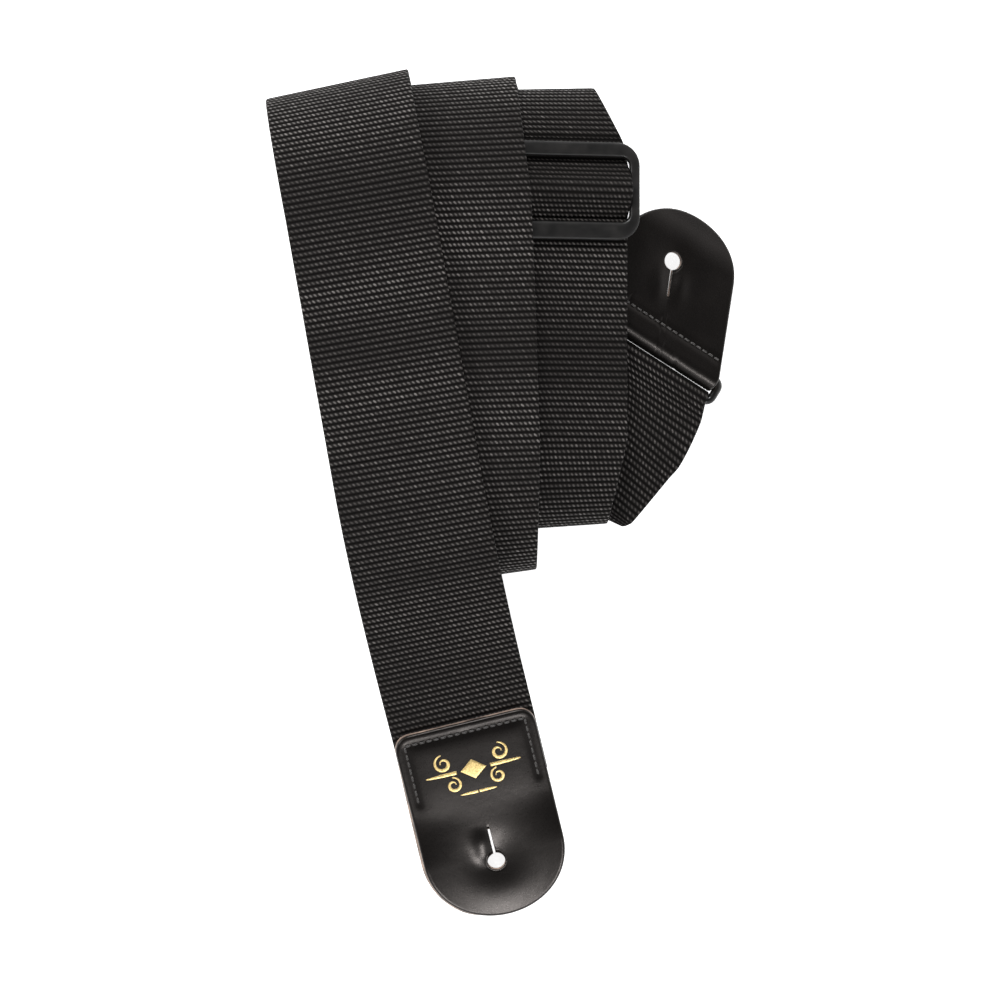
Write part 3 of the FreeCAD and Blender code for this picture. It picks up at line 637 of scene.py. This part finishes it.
def leather_sheet(name, outline, keyhole, place, shape_z, rings_between=44, flare=0.0):
    """Leather with a rounded outer edge and a keyhole.

    outline is a polygon about the hole's centre. place maps flat points (x, y) and a height to
    3-D, and shape_z gives the height of the grain side's relief at a flat point. flare is how
    far the lower edge stands out beyond the upper one on the left, where the pale core shows.
    """
    angles = keyhole.angles(300)
    rings = [k / rings_between for k in range(rings_between + 1)]
    inner = np.array([keyhole.reach(a) for a in angles])
    outer = np.array([reach_outline(outline, a) for a in angles])
    heading = np.array([(math.cos(a), math.sin(a)) for a in angles])
    rows = []

    def add_ring(distance, height, relief=1.0):
        flat = heading * distance[:, None]
        rows.append([(x, y, height + relief * shape_z(x, y)) for x, y in flat])

    rounding = [(1 - math.sin(a), 1 - math.cos(a)) for a in map(math.radians, (0, 30, 60, 90))]
    for drop, back in rounding[::-1]:
        add_ring(inner + HOLE_ROUND * back * 0.8, LEATHER_HALF - HOLE_ROUND * drop)
    span = outer - inner
    for share in rings[1:]:
        add_ring(inner + HOLE_ROUND + (span - HOLE_ROUND - EDGE_ROUND) * share, LEATHER_HALF)
    for drop, back in rounding[::-1][1:]:
        add_ring(outer - EDGE_ROUND * back, LEATHER_HALF - EDGE_ROUND * drop)
    top_rows = len(rows)
    lower = outer + flare * np.array([smooth(0.25, 0.75, -x) for x in heading[:, 0]])
    for drop, back in rounding:
        add_ring(lower - LOWER_ROUND * back, LOWER_ROUND * drop - LEATHER_HALF, LOWER_RELIEF)
    for share in rings[::-2][1:]:
        add_ring(inner + (span - LOWER_ROUND) * share, -LEATHER_HALF, LOWER_RELIEF)
    add_ring(inner, -LEATHER_HALF + 0.2, LOWER_RELIEF)
    flat = [point for row in rows for point in row]
    verts = [place(*point) for point in flat]
    faces = grid_faces(len(rows), len(angles), closed_rows=True, closed_columns=True)
    obj = new_object(name, verts, [face[::-1] for face in faces])
    raw = np.zeros(len(obj.data.polygons), dtype=np.int32)
    columns = len(angles)
    raw[(top_rows + 2) * columns:] = FLESH
    raw[(top_rows - 1) * columns:(top_rows + 2) * columns] = RAW_EDGE
    raw[(len(rows) - 1) * columns:] = RAW_EDGE
    obj.data.polygons.foreach_set("material_index", raw)
    return obj


def half_circle(radius, first_angle=0.0, steps=48):
    """Points round half a circle, counter-clockwise."""
    angles = [first_angle + math.pi * k / steps for k in range(steps + 1)]
    return [(radius * math.cos(angle), radius * math.sin(angle)) for angle in angles]


def round_end_outline(half, straight, end_y, corner):
    """Outline of a tab about its button hole: a round end at the bottom, corners at the top."""
    points = [(x, end_y + y) for x, y in half_circle(half, math.pi)]
    for side in (1, -1):
        for k in range(7):
            angle = math.radians(90 * k / 6 if side > 0 else 90 + 90 * k / 6)
            points.append((side * (half - corner) + corner * math.cos(angle),
                           straight - corner + corner * math.sin(angle)))
    return np.array(points)


# ---- stitches

STITCH_PITCH = 2.6
STITCH_LONG = 2.1
THREAD_RADIUS = 0.42
THREAD_LIFT = 0.12
SEAM_HALF = 21.5
UNDER_SEAM_HALF = 21.0


def stitch_row(corners, place):
    """Stitches along a line of corners, each a short arched thread that dives at its ends."""
    verts, faces = [], []
    sides, steps = 8, 8
    for start, finish in stitch_line(corners):
        along = (finish - start) / np.linalg.norm(finish - start)
        across = np.array([-along[1], along[0]])
        middle = (start + finish) / 2
        base = len(verts)
        for step in range(steps + 1):
            share = 2 * step / steps - 1
            spine = middle + along * share * STITCH_LONG / 2
            arch = THREAD_LIFT + THREAD_RADIUS * (0.5 - 1.3 * share**4)
            thick = THREAD_RADIUS * (1.0 - 0.35 * share**4)
            for c, s in round_the_circle(sides):
                flat = spine + across * thick * c
                verts.append(place(flat[0], flat[1], arch + thick * 0.8 * s))
        for a, b, c, d in grid_faces(steps + 1, sides, closed_columns=True):
            faces.append((base + a, base + b, base + c, base + d))
        faces.append(tuple(base + k for k in range(sides))[::-1])
        faces.append(tuple(base + steps * sides + k for k in range(sides)))
    return verts, faces


def stitch_line(corners):
    """Start and finish of each stitch along a line of corners."""
    result = []
    for start, finish in zip(corners, corners[1:]):
        start, finish = np.array(start, float), np.array(finish, float)
        run = np.linalg.norm(finish - start)
        count = max(1, round(run / STITCH_PITCH))
        for k in range(count):
            a = start + (finish - start) * (k / count)
            b = start + (finish - start) * ((k + 1) / count)
            result.append((a, b))
    return result


# ---- swept bars

def tube(name, path, radius, sides=20):
    """Round bar swept along a closed path of (point, binormal) pairs."""
    count = len(path)
    verts = []
    for i, (point, binormal) in enumerate(path):
        heading = (path[(i + 1) % count][0] - path[i - 1][0]).normalized()
        side = heading.cross(binormal).normalized()
        verts += [point + side * radius * c + binormal * radius * s for c, s in round_the_circle(sides)]
    return new_object(name, verts, grid_faces(count, sides, closed_rows=True, closed_columns=True))


def rounded_rectangle(width, height, radius, per_corner=10, per_side=12):
    """Points round a rectangle centred on the origin, counter-clockwise."""
    arcs = []
    for index, (sx, sy) in enumerate([(1, 1), (-1, 1), (-1, -1), (1, -1)]):
        angles = np.radians(90 * index + np.linspace(0, 90, per_corner + 1))
        middle = np.array((sx * (width / 2 - radius), sy * (height / 2 - radius)))
        arcs.append(middle + radius * np.column_stack([np.cos(angles), np.sin(angles)]))
    points = []
    for arc, following in zip(arcs, arcs[1:] + arcs[:1]):
        points += [*arc, *np.linspace(arc[-1], following[0], per_side + 1)[1:-1]]
    return np.array(points)


def loft(rows):
    """Vertices and faces of a closed bar from rows of points, each row a closed loop."""
    count = len(rows[0])
    verts = [point for row in rows for point in row]
    faces = grid_faces(len(rows), count, closed_columns=True)
    faces.append(tuple(range(count))[::-1])
    faces.append(tuple((len(rows) - 1) * count + k for k in range(count)))
    return verts, faces


def merged(name, parts):
    """One object from several (vertices, faces) pairs."""
    verts, faces = [], []
    for part_verts, part_faces in parts:
        base = len(verts)
        verts += list(part_verts)
        faces += [tuple(base + k for k in face) for face in part_faces]
    return new_object(name, verts, faces)


def finish_piece(obj, slot, materials, *replaced):
    """Give a piece its materials and hide the CAD nodes it stands for."""
    for material in materials:
        obj.data.materials.append(material)
    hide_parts(*replaced)


# ---- strap pieces

FLAP_SPLIT = 0.125                        # length at which the flap's two pieces meet, m
FLEX_START, FLEX_END = 0.036, 0.021       # lengths between which the front end would bend; they are only looked up

strap = Strap()
front_frame_z = Vector(mounts["front_button_hole"]["axis"])
webbing = webbing_material("webbing_black")
run_start, run_end = strap.span("webbing_slide_run")
saddle_start, saddle_end = strap.span("webbing_saddle")
inner_start, inner_end = strap.span("webbing_inner_turn")
return_start, return_end = strap.span("webbing_return")
loop_start, loop_end = strap.span("webbing_stitched_loop")
fold_end = strap.span("webbing_front_fold")[1]
coil_start, coil_end = strap.span("webbing_coil")
coil_split = 0.5 * (fold_end + coil_start)
run_split = 0.5 * (coil_end + run_start)
run_top = 0.5 * (run_end + saddle_start)
webbing_by_y = webbing_material("webbing_black_run", (run_start - strap.middle(run_start).y) / MM)


def strap_piece(name, ranges, material, *replaced, relief=RELIEF):
    """Webbing over ranges of the strap's length, in place of these CAD nodes."""
    obj = ribbon_object(name, ranges, relief)
    finish_piece(obj, "webbing", [material], *replaced)
    return obj


strap_front = strap_piece("strap_front", [(0.0, FLAP_SPLIT)], webbing, "webbing_sewn_end", "webbing_flap")
strap.middle(FLEX_START)
strap.middle(FLEX_END)
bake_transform(strap_front)

strap_fold = strap_piece(
    "strap_fold", [(FLAP_SPLIT, coil_split)], webbing, "webbing_flap", "webbing_front_fold"
)
fold_x, fold_y = strap.middle(coil_split).xy
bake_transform(strap_fold)

strap_coil = strap_piece("strap_coil", [(coil_split, run_split)], webbing, "webbing_coil")
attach(strap_coil, "coil")

strap_run = strap_piece("strap_run", [(run_split, run_top)], webbing_by_y, "webbing_slide_run")
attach(strap_run, "coil")
strap.middle(run_split)
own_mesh(strap_run)

strap_saddle = strap_piece("strap_saddle", [(run_top, saddle_end)], webbing, "webbing_saddle")
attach(strap_saddle, "adjuster")

strap_feed = strap_piece(
    "strap_feed", [(saddle_end, inner_start), (return_end, loop_start)], webbing_by_y,
    "webbing_inner_turn", "webbing_return", relief=0.0,
)
feed_far = (0, strap.middle(inner_start).y, 0)
feed_near = (0, strap.middle(saddle_end).y, 0)
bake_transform(strap_feed)

strap_loop = strap_piece("strap_loop", [(loop_start, loop_end)], webbing, "webbing_stitched_loop")
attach(strap_loop, "adjuster")

strap_inner = strap_piece(
    "strap_inner", [(inner_start, inner_end), (return_start, return_end)], webbing,
    "webbing_inner_turn", "webbing_return",
)
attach(strap_inner, "coil")

strap_rear = strap_piece(
    "strap_rear", [(inner_end, return_start)], webbing, "webbing_rear_fold", "webbing_rear_run"
)
rear_start = strap.span("webbing_rear_run")[0]
rear_foot = strap.middle(rear_start)
rear_way = (strap.middle(rear_start + 0.010) - rear_foot).normalized()
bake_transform(strap_rear)

# ---- front tab

leather = leather_material()
raw_edge = raw_edge_material()
flesh = flesh_material()
thread = thread_material()
PLY_STEP = 2.25            # from the webbing's middle to the leather's, mm
TAB_HOLE_Y = -52.6         # the button hole, from the tab's upper edge
END_FROM_HOLE = 4.7        # from the hole to the centre of the round end, towards the webbing
TAB_CORNER = 5.5
flex = joints["front_tab_flex"]
front_place = local_frame(
    Vector(flex["pos_m"]) + front_frame_z * PLY_STEP * MM, -Vector(flex["axis"]), front_frame_z
)


def segment_distance(x, y, a, b):
    """Distance in the plane from a point to a segment."""
    ax, ay, bx, by = *a, *b
    length = (bx - ax) ** 2 + (by - ay) ** 2
    share = min(1.0, max(0.0, ((x - ax) * (bx - ax) + (y - ay) * (by - ay)) / length))
    return math.hypot(x - ax - share * (bx - ax), y - ay - share * (by - ay))


SEAM_LOW, SEAM_TOP = -25.0, -3.5
FRONT_SEAM = [(-SEAM_HALF, SEAM_LOW), (-SEAM_HALF, SEAM_TOP), (SEAM_HALF, SEAM_TOP), (SEAM_HALF, SEAM_LOW)]


def front_relief(x, y):
    """Height of the front tab's grain side, in the tab's own millimetres."""
    seam = min(segment_distance(x, y, a, b) for a, b in zip(FRONT_SEAM, FRONT_SEAM[1:]))
    groove = -0.30 * math.exp(-((seam / 1.2) ** 2))
    inside = smooth(24.0, 15.0, abs(x)) * smooth(-1.0, -9.0, y) * smooth(-36.0, -20.0, y)
    r = math.hypot(x, y - TAB_HOLE_Y)
    dish = -1.5 * math.exp(-((r / 8.0) ** 2))
    slit = smooth(14.5, 7.0, y - TAB_HOLE_Y) * smooth(-2.0, 4.0, y - TAB_HOLE_Y)
    left_lip = 1.0 * slit * math.exp(-(((x + 3.2) / 3.4) ** 2)) * smooth(0.6, -0.4, x)
    curl = 0.0035 * (x * x) * smooth(-30.0, -50.0, y)
    droop = -0.0030 * max(0.0, -y - 52.0) ** 2
    return groove + 0.30 * inside + dish + left_lip + curl + droop


def put_front(x, y, z):
    """Point of the front tab, x and y measured from its button hole."""
    return front_place @ (Vector((x, y + TAB_HOLE_Y, z)) * MM)


front_leather = leather_sheet(
    "tab_front_leather", round_end_outline(TAB_HALF, -TAB_HOLE_Y, END_FROM_HOLE, TAB_CORNER),
    Keyhole(HOLE_RADIUS, SLIT_END, SLIT_HALF), put_front,
    lambda x, y: front_relief(x, y + TAB_HOLE_Y), flare=0.9,
)
finish_piece(front_leather, "leather", [leather, raw_edge, flesh], "front_tab")
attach(front_leather, "front_end")


def put_on_front(x, y, z):
    """Point lying on the front tab's grain side, in the tab's own millimetres."""
    return front_place @ (Vector((x, y, LEATHER_HALF + front_relief(x, y) + z)) * MM)


front_stitches = merged("stitches_front", [stitch_row(FRONT_SEAM, put_on_front)])
finish_piece(front_stitches, "thread", [thread], "front_tab_seam")
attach(front_stitches, "front_end")

# ---- gold ornament

FOIL_LIFT = 0.06
FOIL_SECTION = [(-0.5, -0.15), (-0.46, 0.5), (-0.3, 1.0), (0.3, 1.0), (0.46, 0.5), (0.5, -0.15)]


def foil_stroke(points, widths):
    """Flat stroke with a domed top, along points, with a width at each."""
    points = np.array(points, float)
    rows = []
    for i, (point, width) in enumerate(zip(points, widths)):
        ahead, behind = points[min(i + 1, len(points) - 1)], points[max(i - 1, 0)]
        along = (ahead - behind) / np.linalg.norm(ahead - behind)
        side = np.array([-along[1], along[0]])
        row = []
        for share, lift in FOIL_SECTION:
            flat = point + side * width * share
            row.append(put_on_front(flat[0], flat[1], FOIL_LIFT * lift))
        rows.append(row)
    return loft(rows)


def rule(inner_x, outer_x, y, width):
    """Straight tapered rule to one side of the middle."""
    shares = np.linspace(0.0, 1.0, 25)
    points = [(inner_x + (outer_x - inner_x) * share, y) for share in shares]
    return foil_stroke(points, width * (1 - 0.75 * shares**3))


def curl_stroke(side, centre, radius, turns, width):
    """Scroll that winds inwards, with a stroke that swells and thins."""
    points, widths = [], []
    for k in range(49):
        share = k / 48
        angle = math.pi / 2 - 2 * math.pi * turns * share
        r = radius * (1 - 0.72 * share)
        points.append((centre[0] + side * r * math.cos(angle), centre[1] + r * math.sin(angle)))
        widths.append(width * (0.35 + 0.65 * math.sin(math.pi * min(1.0, share * 1.15))))
    return foil_stroke(points, widths)


ORNAMENT_Y = -17.0
LOZENGE_HALF = 4.6
strokes = []
for side in (-1, 1):
    strokes.append(rule(side * 6.0, side * 17.0, ORNAMENT_Y, 1.3))
    strokes.append(curl_stroke(side, (side * 10.0, ORNAMENT_Y + 4.2), 3.2, 1.25, 1.25))
    strokes.append(curl_stroke(-side, (side * 8.0, ORNAMENT_Y - 4.2), 2.8, 1.25, 1.15))
    strokes.append(rule(side * 0.2, side * 6.5, ORNAMENT_Y - 8.4, 1.0))
lozenge_xs = np.linspace(-LOZENGE_HALF, LOZENGE_HALF, 33)
strokes.append(foil_stroke(
    [(x, ORNAMENT_Y) for x in lozenge_xs],
    [max(0.15, 1.6 * (LOZENGE_HALF - abs(x))) for x in lozenge_xs],
))
ornament = merged("foil_ornament_gold", strokes)
finish_piece(ornament, "foil", [foil_material()], "foil_ornament")
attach(ornament, "front_end")

# ---- rear tab

swing = joints["rear_tab_swing"]
rear_mount_z = Vector(mounts["rear_button_hole"]["axis"])
rear_place = local_frame(swing["pos_m"], swing["axis"], rear_mount_z)
hole_local = rear_place.inverted() @ Vector(mounts["rear_button_hole"]["pos_m"]) / MM
SKEW = math.atan2(-hole_local.x, hole_local.y)
WRAP_RADIUS = 3.05         # from the loop's bar to the leather's middle, mm
REAR_FLAT = 33.0           # the leather is flat up to here, and droops beyond
DROOP_RADIUS = 24.6
BACK_RISE = 3.1            # how far the back ply comes up towards the front one
REAR_STRAIGHT = 24.5
REAR_SEAM_Y = 5.95
BACK_PLY = 14.0
BACK_LEFT, BACK_RIGHT = 1.12, 0.74     # half widths of the back ply's end, to TAB_HALF
wrap_long = math.pi * WRAP_RADIUS


def rear_point(x, y, z):
    """Point of the rear tab: y is measured along the leather from above the loop's bar."""
    if y > REAR_FLAT:
        angle = (y - REAR_FLAT) / DROOP_RADIUS
        radius = DROOP_RADIUS + z
        top = WRAP_RADIUS - DROOP_RADIUS
        local = (x, REAR_FLAT + radius * math.sin(angle), top + radius * math.cos(angle))
    elif y >= 0:
        local = (x, y, WRAP_RADIUS + z)
    elif y >= -wrap_long:
        angle = -y / WRAP_RADIUS
        radius = WRAP_RADIUS + z
        local = (x, -radius * math.sin(angle), radius * math.cos(angle))
    else:
        back = -y - wrap_long
        rise = BACK_RISE * smooth(2.5, 9.0, back)
        local = (x, back, rise - WRAP_RADIUS - z)
    return rear_place @ (Vector(local) * MM)


def rear_relief(x, y):
    """Height of the rear tab's grain side; x and y in the tab's own millimetres."""
    dx, dy = x - hole_local.x, y - hole_local.y
    along = -dx * math.sin(SKEW) + dy * math.cos(SKEW)
    across = dx * math.cos(SKEW) + dy * math.sin(SKEW)
    seam = abs(y - REAR_SEAM_Y)
    groove = -0.38 * math.exp(-((seam / 1.1) ** 2)) * smooth(23.5, 21.0, abs(x))
    dish = -1.0 * math.exp(-(((along + 4.0) / 9.0) ** 2 + (across / 6.0) ** 2))
    lips = 0.7 * math.exp(-(((along + 8.0) / 6.0) ** 2)) * math.exp(-(((abs(across) - 3.5) / 3.0) ** 2))
    back = smooth(-wrap_long, -wrap_long + 3.0, y)
    return (groove + dish + lips) * back


def rear_outline():
    """Outline of the rear leather laid flat, about its button hole."""
    along = np.array([-math.sin(SKEW), math.cos(SKEW)])
    across = np.array([math.cos(SKEW), math.sin(SKEW)])
    centre = along * REAR_STRAIGHT
    radius = TAB_HALF * math.cos(SKEW)
    low = -wrap_long - BACK_PLY
    points = [
        np.array([-BACK_LEFT * TAB_HALF, low]), np.array([BACK_RIGHT * TAB_HALF, low]),
        np.array([TAB_HALF, -wrap_long]), np.array([TAB_HALF, 0.0]),
    ]
    points += [centre + across * x + along * y for x, y in half_circle(radius)]
    points += [np.array([-TAB_HALF, 0.0]), np.array([-TAB_HALF, -wrap_long])]
    return np.array(points) - np.array([hole_local.x, hole_local.y])


def put_rear(x, y, z):
    """Point of the rear tab, x and y measured from its button hole."""
    return rear_point(x + hole_local.x, y + hole_local.y, z)


rear_leather = leather_sheet(
    "tab_rear_leather", rear_outline(),
    Keyhole(HOLE_RADIUS, SLIT_END, SLIT_HALF, SKEW + math.pi), put_rear,
    lambda x, y: rear_relief(x + hole_local.x, y + hole_local.y), rings_between=88,
)
finish_piece(rear_leather, "leather", [leather, raw_edge, flesh], "rear_tab")
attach(rear_leather, "rear_leather")


def put_on_rear(x, y, z):
    """Point lying on the rear tab's grain side."""
    return rear_point(x, y, LEATHER_HALF + rear_relief(x, y) + z)


rear_seam = [(-SEAM_HALF, REAR_SEAM_Y), (SEAM_HALF, REAR_SEAM_Y)]
rear_stitches = merged("stitches_rear", [stitch_row(rear_seam, put_on_rear)])
finish_piece(rear_stitches, "thread", [thread], "rear_tab_seam")
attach(rear_stitches, "rear_leather")

# ---- wire loop

LOOP_WIDE, LOOP_TALL, LOOP_CORNER = 53.8, 7.9, 2.4
WIRE_RADIUS = 1.5
ring_low, ring_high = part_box("rear_loop")
ring_centre = (Vector(ring_low) + Vector(ring_high)) / 2
ring_x = Vector(swing["axis"]).normalized()
ring_y = (Vector(swing["pos_m"]) - ring_centre).normalized()
ring_z = ring_x.cross(ring_y)
loop_path = []
for x, y in rounded_rectangle(LOOP_WIDE, LOOP_TALL, LOOP_CORNER):
    loop_path.append((ring_centre + (ring_x * x + ring_y * y) * MM, ring_z))
wire_loop = tube("wire_loop", loop_path, WIRE_RADIUS * MM)
finish_piece(wire_loop, "loop_metal", [coated_wire_material()], "rear_loop")
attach(wire_loop, "rear_end")

# ---- slide adjuster

slide_low, slide_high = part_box("slide_adjuster")
slide_centre = (Vector(slide_low) + Vector(slide_high)) / 2
slide_x = Vector(strap.at(np.array([0.5 * (saddle_start + saddle_end)]))[1][0])
slide_place = local_frame(slide_centre, slide_x, slide_x.cross(Vector((0, 1, 0))))
SLIDE_OUTER = (57.6, 33.7, 8.0)      # width, height and corner radius, mm
SLIDE_WINDOW = (50.8, 22.4, 3.2)
WINDOW_Y = 0.65                      # the window's middle, above the slide's
RIM_HALF = 1.5
BAR_END = 26.2
BAR_RADIUS = 1.6
BAR_SWELL = 0.7                      # how much wider the bar gets where it joins the sides


def slide_rim():
    """Moulded rim: a rounded section lofted between the outer outline and the window."""
    outer = rounded_rectangle(*SLIDE_OUTER)
    inner = rounded_rectangle(*SLIDE_WINDOW)
    inner[:, 1] += WINDOW_Y
    rows = []
    sides = 28
    for c, s in round_the_circle(sides):
        share = 0.5 + 0.5 * math.copysign(abs(c) ** 0.38, c)
        height = RIM_HALF * math.copysign(abs(s) ** 0.5, s)
        rows.append([
            slide_place @ (Vector((*(inner[i] + (outer[i] - inner[i]) * share), height)) * MM)
            for i in range(len(outer))
        ])
    verts = [point for row in rows for point in row]
    return verts, grid_faces(sides, len(outer), closed_rows=True, closed_columns=True)


def slide_bar():
    """Round centre bar, joined into the side bars."""
    rows = []
    sides = 24
    for x in np.linspace(-BAR_END, BAR_END, 28):
        wide = BAR_RADIUS + BAR_SWELL * math.exp(-(((BAR_END - abs(x)) / BAR_RADIUS) ** 2))
        rows.append([
            slide_place @ (Vector((x, WINDOW_Y + wide * c, BAR_RADIUS * s)) * MM)
            for c, s in round_the_circle(sides)
        ])
    return loft(rows)


slide_frame = merged("slide_frame", [slide_rim(), slide_bar()])
finish_piece(slide_frame, "adjuster_plastic", [plastic_material()], "slide_adjuster")
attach(slide_frame, "adjuster")

seam_points = node_points("adjuster_seam", slide_place)
seam_z = seam_points[:, 2].max()
THREAD_HALF = 0.35
rows_y = (seam_points[:, 1].min() + THREAD_HALF, seam_points[:, 1].max() - THREAD_HALF)


def put_under(x, y, z):
    """Point on the underside of the sewn end, in the slider's frame."""
    return slide_place @ (Vector((x, y, seam_z - z - 0.2)) * MM)


under_seams = [[(-UNDER_SEAM_HALF, y), (UNDER_SEAM_HALF, y)] for y in rows_y]
under_stitches = merged("stitches_adjuster", [stitch_row(seam, put_under) for seam in under_seams])
finish_piece(under_stitches, "thread", [thread], "adjuster_seam")
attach(under_stitches, "adjuster")

# ---- studio

FLOOR_GAP = 0.0003                        # the floor lies this far below the strap, m
CAMERA_PLACE = (-0.0007, -0.0013, 1.35)   # it looks straight down
CAMERA_LENS = 137.7

scene = bpy.context.scene
scene.view_settings.view_transform = "Standard"


def studio_world():
    """Light tent: bright at mid height, dim at the horizon and overhead, and white to the camera."""
    world = bpy.data.worlds.new("light_tent")
    scene.world = world
    world.use_nodes = True
    tree = world.node_tree
    add, join = tree.nodes.new, tree.links.new
    place = add("ShaderNodeTexCoord")
    split = add("ShaderNodeSeparateXYZ")
    join(place.outputs["Generated"], split.inputs[0])
    ramp = add("ShaderNodeValToRGB")
    join(split.outputs["Z"], ramp.inputs[0])
    brightest = 1.6
    stops = [(0.0, 0.45), (0.30, 0.60), (0.50, 1.35), (0.66, 0.60), (0.86, 0.07), (1.0, 0.03)]
    elements = ramp.color_ramp.elements
    while len(elements) < len(stops):
        elements.new(0.5)
    for element, (position, level) in zip(elements, stops):
        element.position = position
        element.color = (level / brightest,) * 3 + (1.0,)
    background = tree.nodes["Background"]
    join(ramp.outputs["Color"], background.inputs["Color"])
    background.inputs["Strength"].default_value = brightest
    white = add("ShaderNodeBackground")
    white.inputs["Color"].default_value = (1.0, 1.0, 1.0, 1.0)
    seen = add("ShaderNodeLightPath")
    mix = add("ShaderNodeMixShader")
    join(seen.outputs["Is Camera Ray"], mix.inputs[0])
    join(background.outputs[0], mix.inputs[1])
    join(white.outputs[0], mix.inputs[2])
    join(mix.outputs[0], tree.nodes["World Output"].inputs["Surface"])


def floor():
    """Pale floor that stays white under the strap."""
    corners = [(-6, -6, 0), (6, -6, 0), (6, 6, 0), (-6, 6, 0)]
    obj = new_object("floor", corners, [(0, 1, 2, 3)], shade_smooth=False)
    obj.location.z = -FLOOR_GAP
    shader = Shader("floor_white")
    shader.surface(Base_Color=(0.8, 0.8, 0.8, 1.0), Roughness=0.9,
                   Emission_Color=(1.0, 1.0, 1.0, 1.0), Emission_Strength=0.85)
    obj.data.materials.append(shader.material)


def soft_light(name, place, target, size, power):
    """Square soft light aimed at a point."""
    light = bpy.data.lights.new(name, "AREA")
    light.shape, light.size, light.energy = "SQUARE", size, power
    obj = bpy.data.objects.new(name, light)
    obj.location = place
    obj.rotation_euler = (Vector(target) - Vector(place)).to_track_quat("-Z", "Y").to_euler()
    scene.collection.objects.link(obj)


studio_world()
floor()
soft_light("light_left", (-1.3, 0.35, 1.0), (0, 0, 0), 0.45, 11.0)
soft_light("light_far", (-0.2, 1.2, 1.15), (0, 0, 0), 0.5, 22.0)
soft_light("light_near", (0.25, -1.2, 1.0), (0, 0, 0), 0.35, 10.0)

camera_data = bpy.data.cameras.new("camera")
camera_data.lens = CAMERA_LENS
camera_data.sensor_width = 36.0
camera = bpy.data.objects.new("camera", camera_data)
camera.location = CAMERA_PLACE
scene.collection.objects.link(camera)
scene.camera = camera
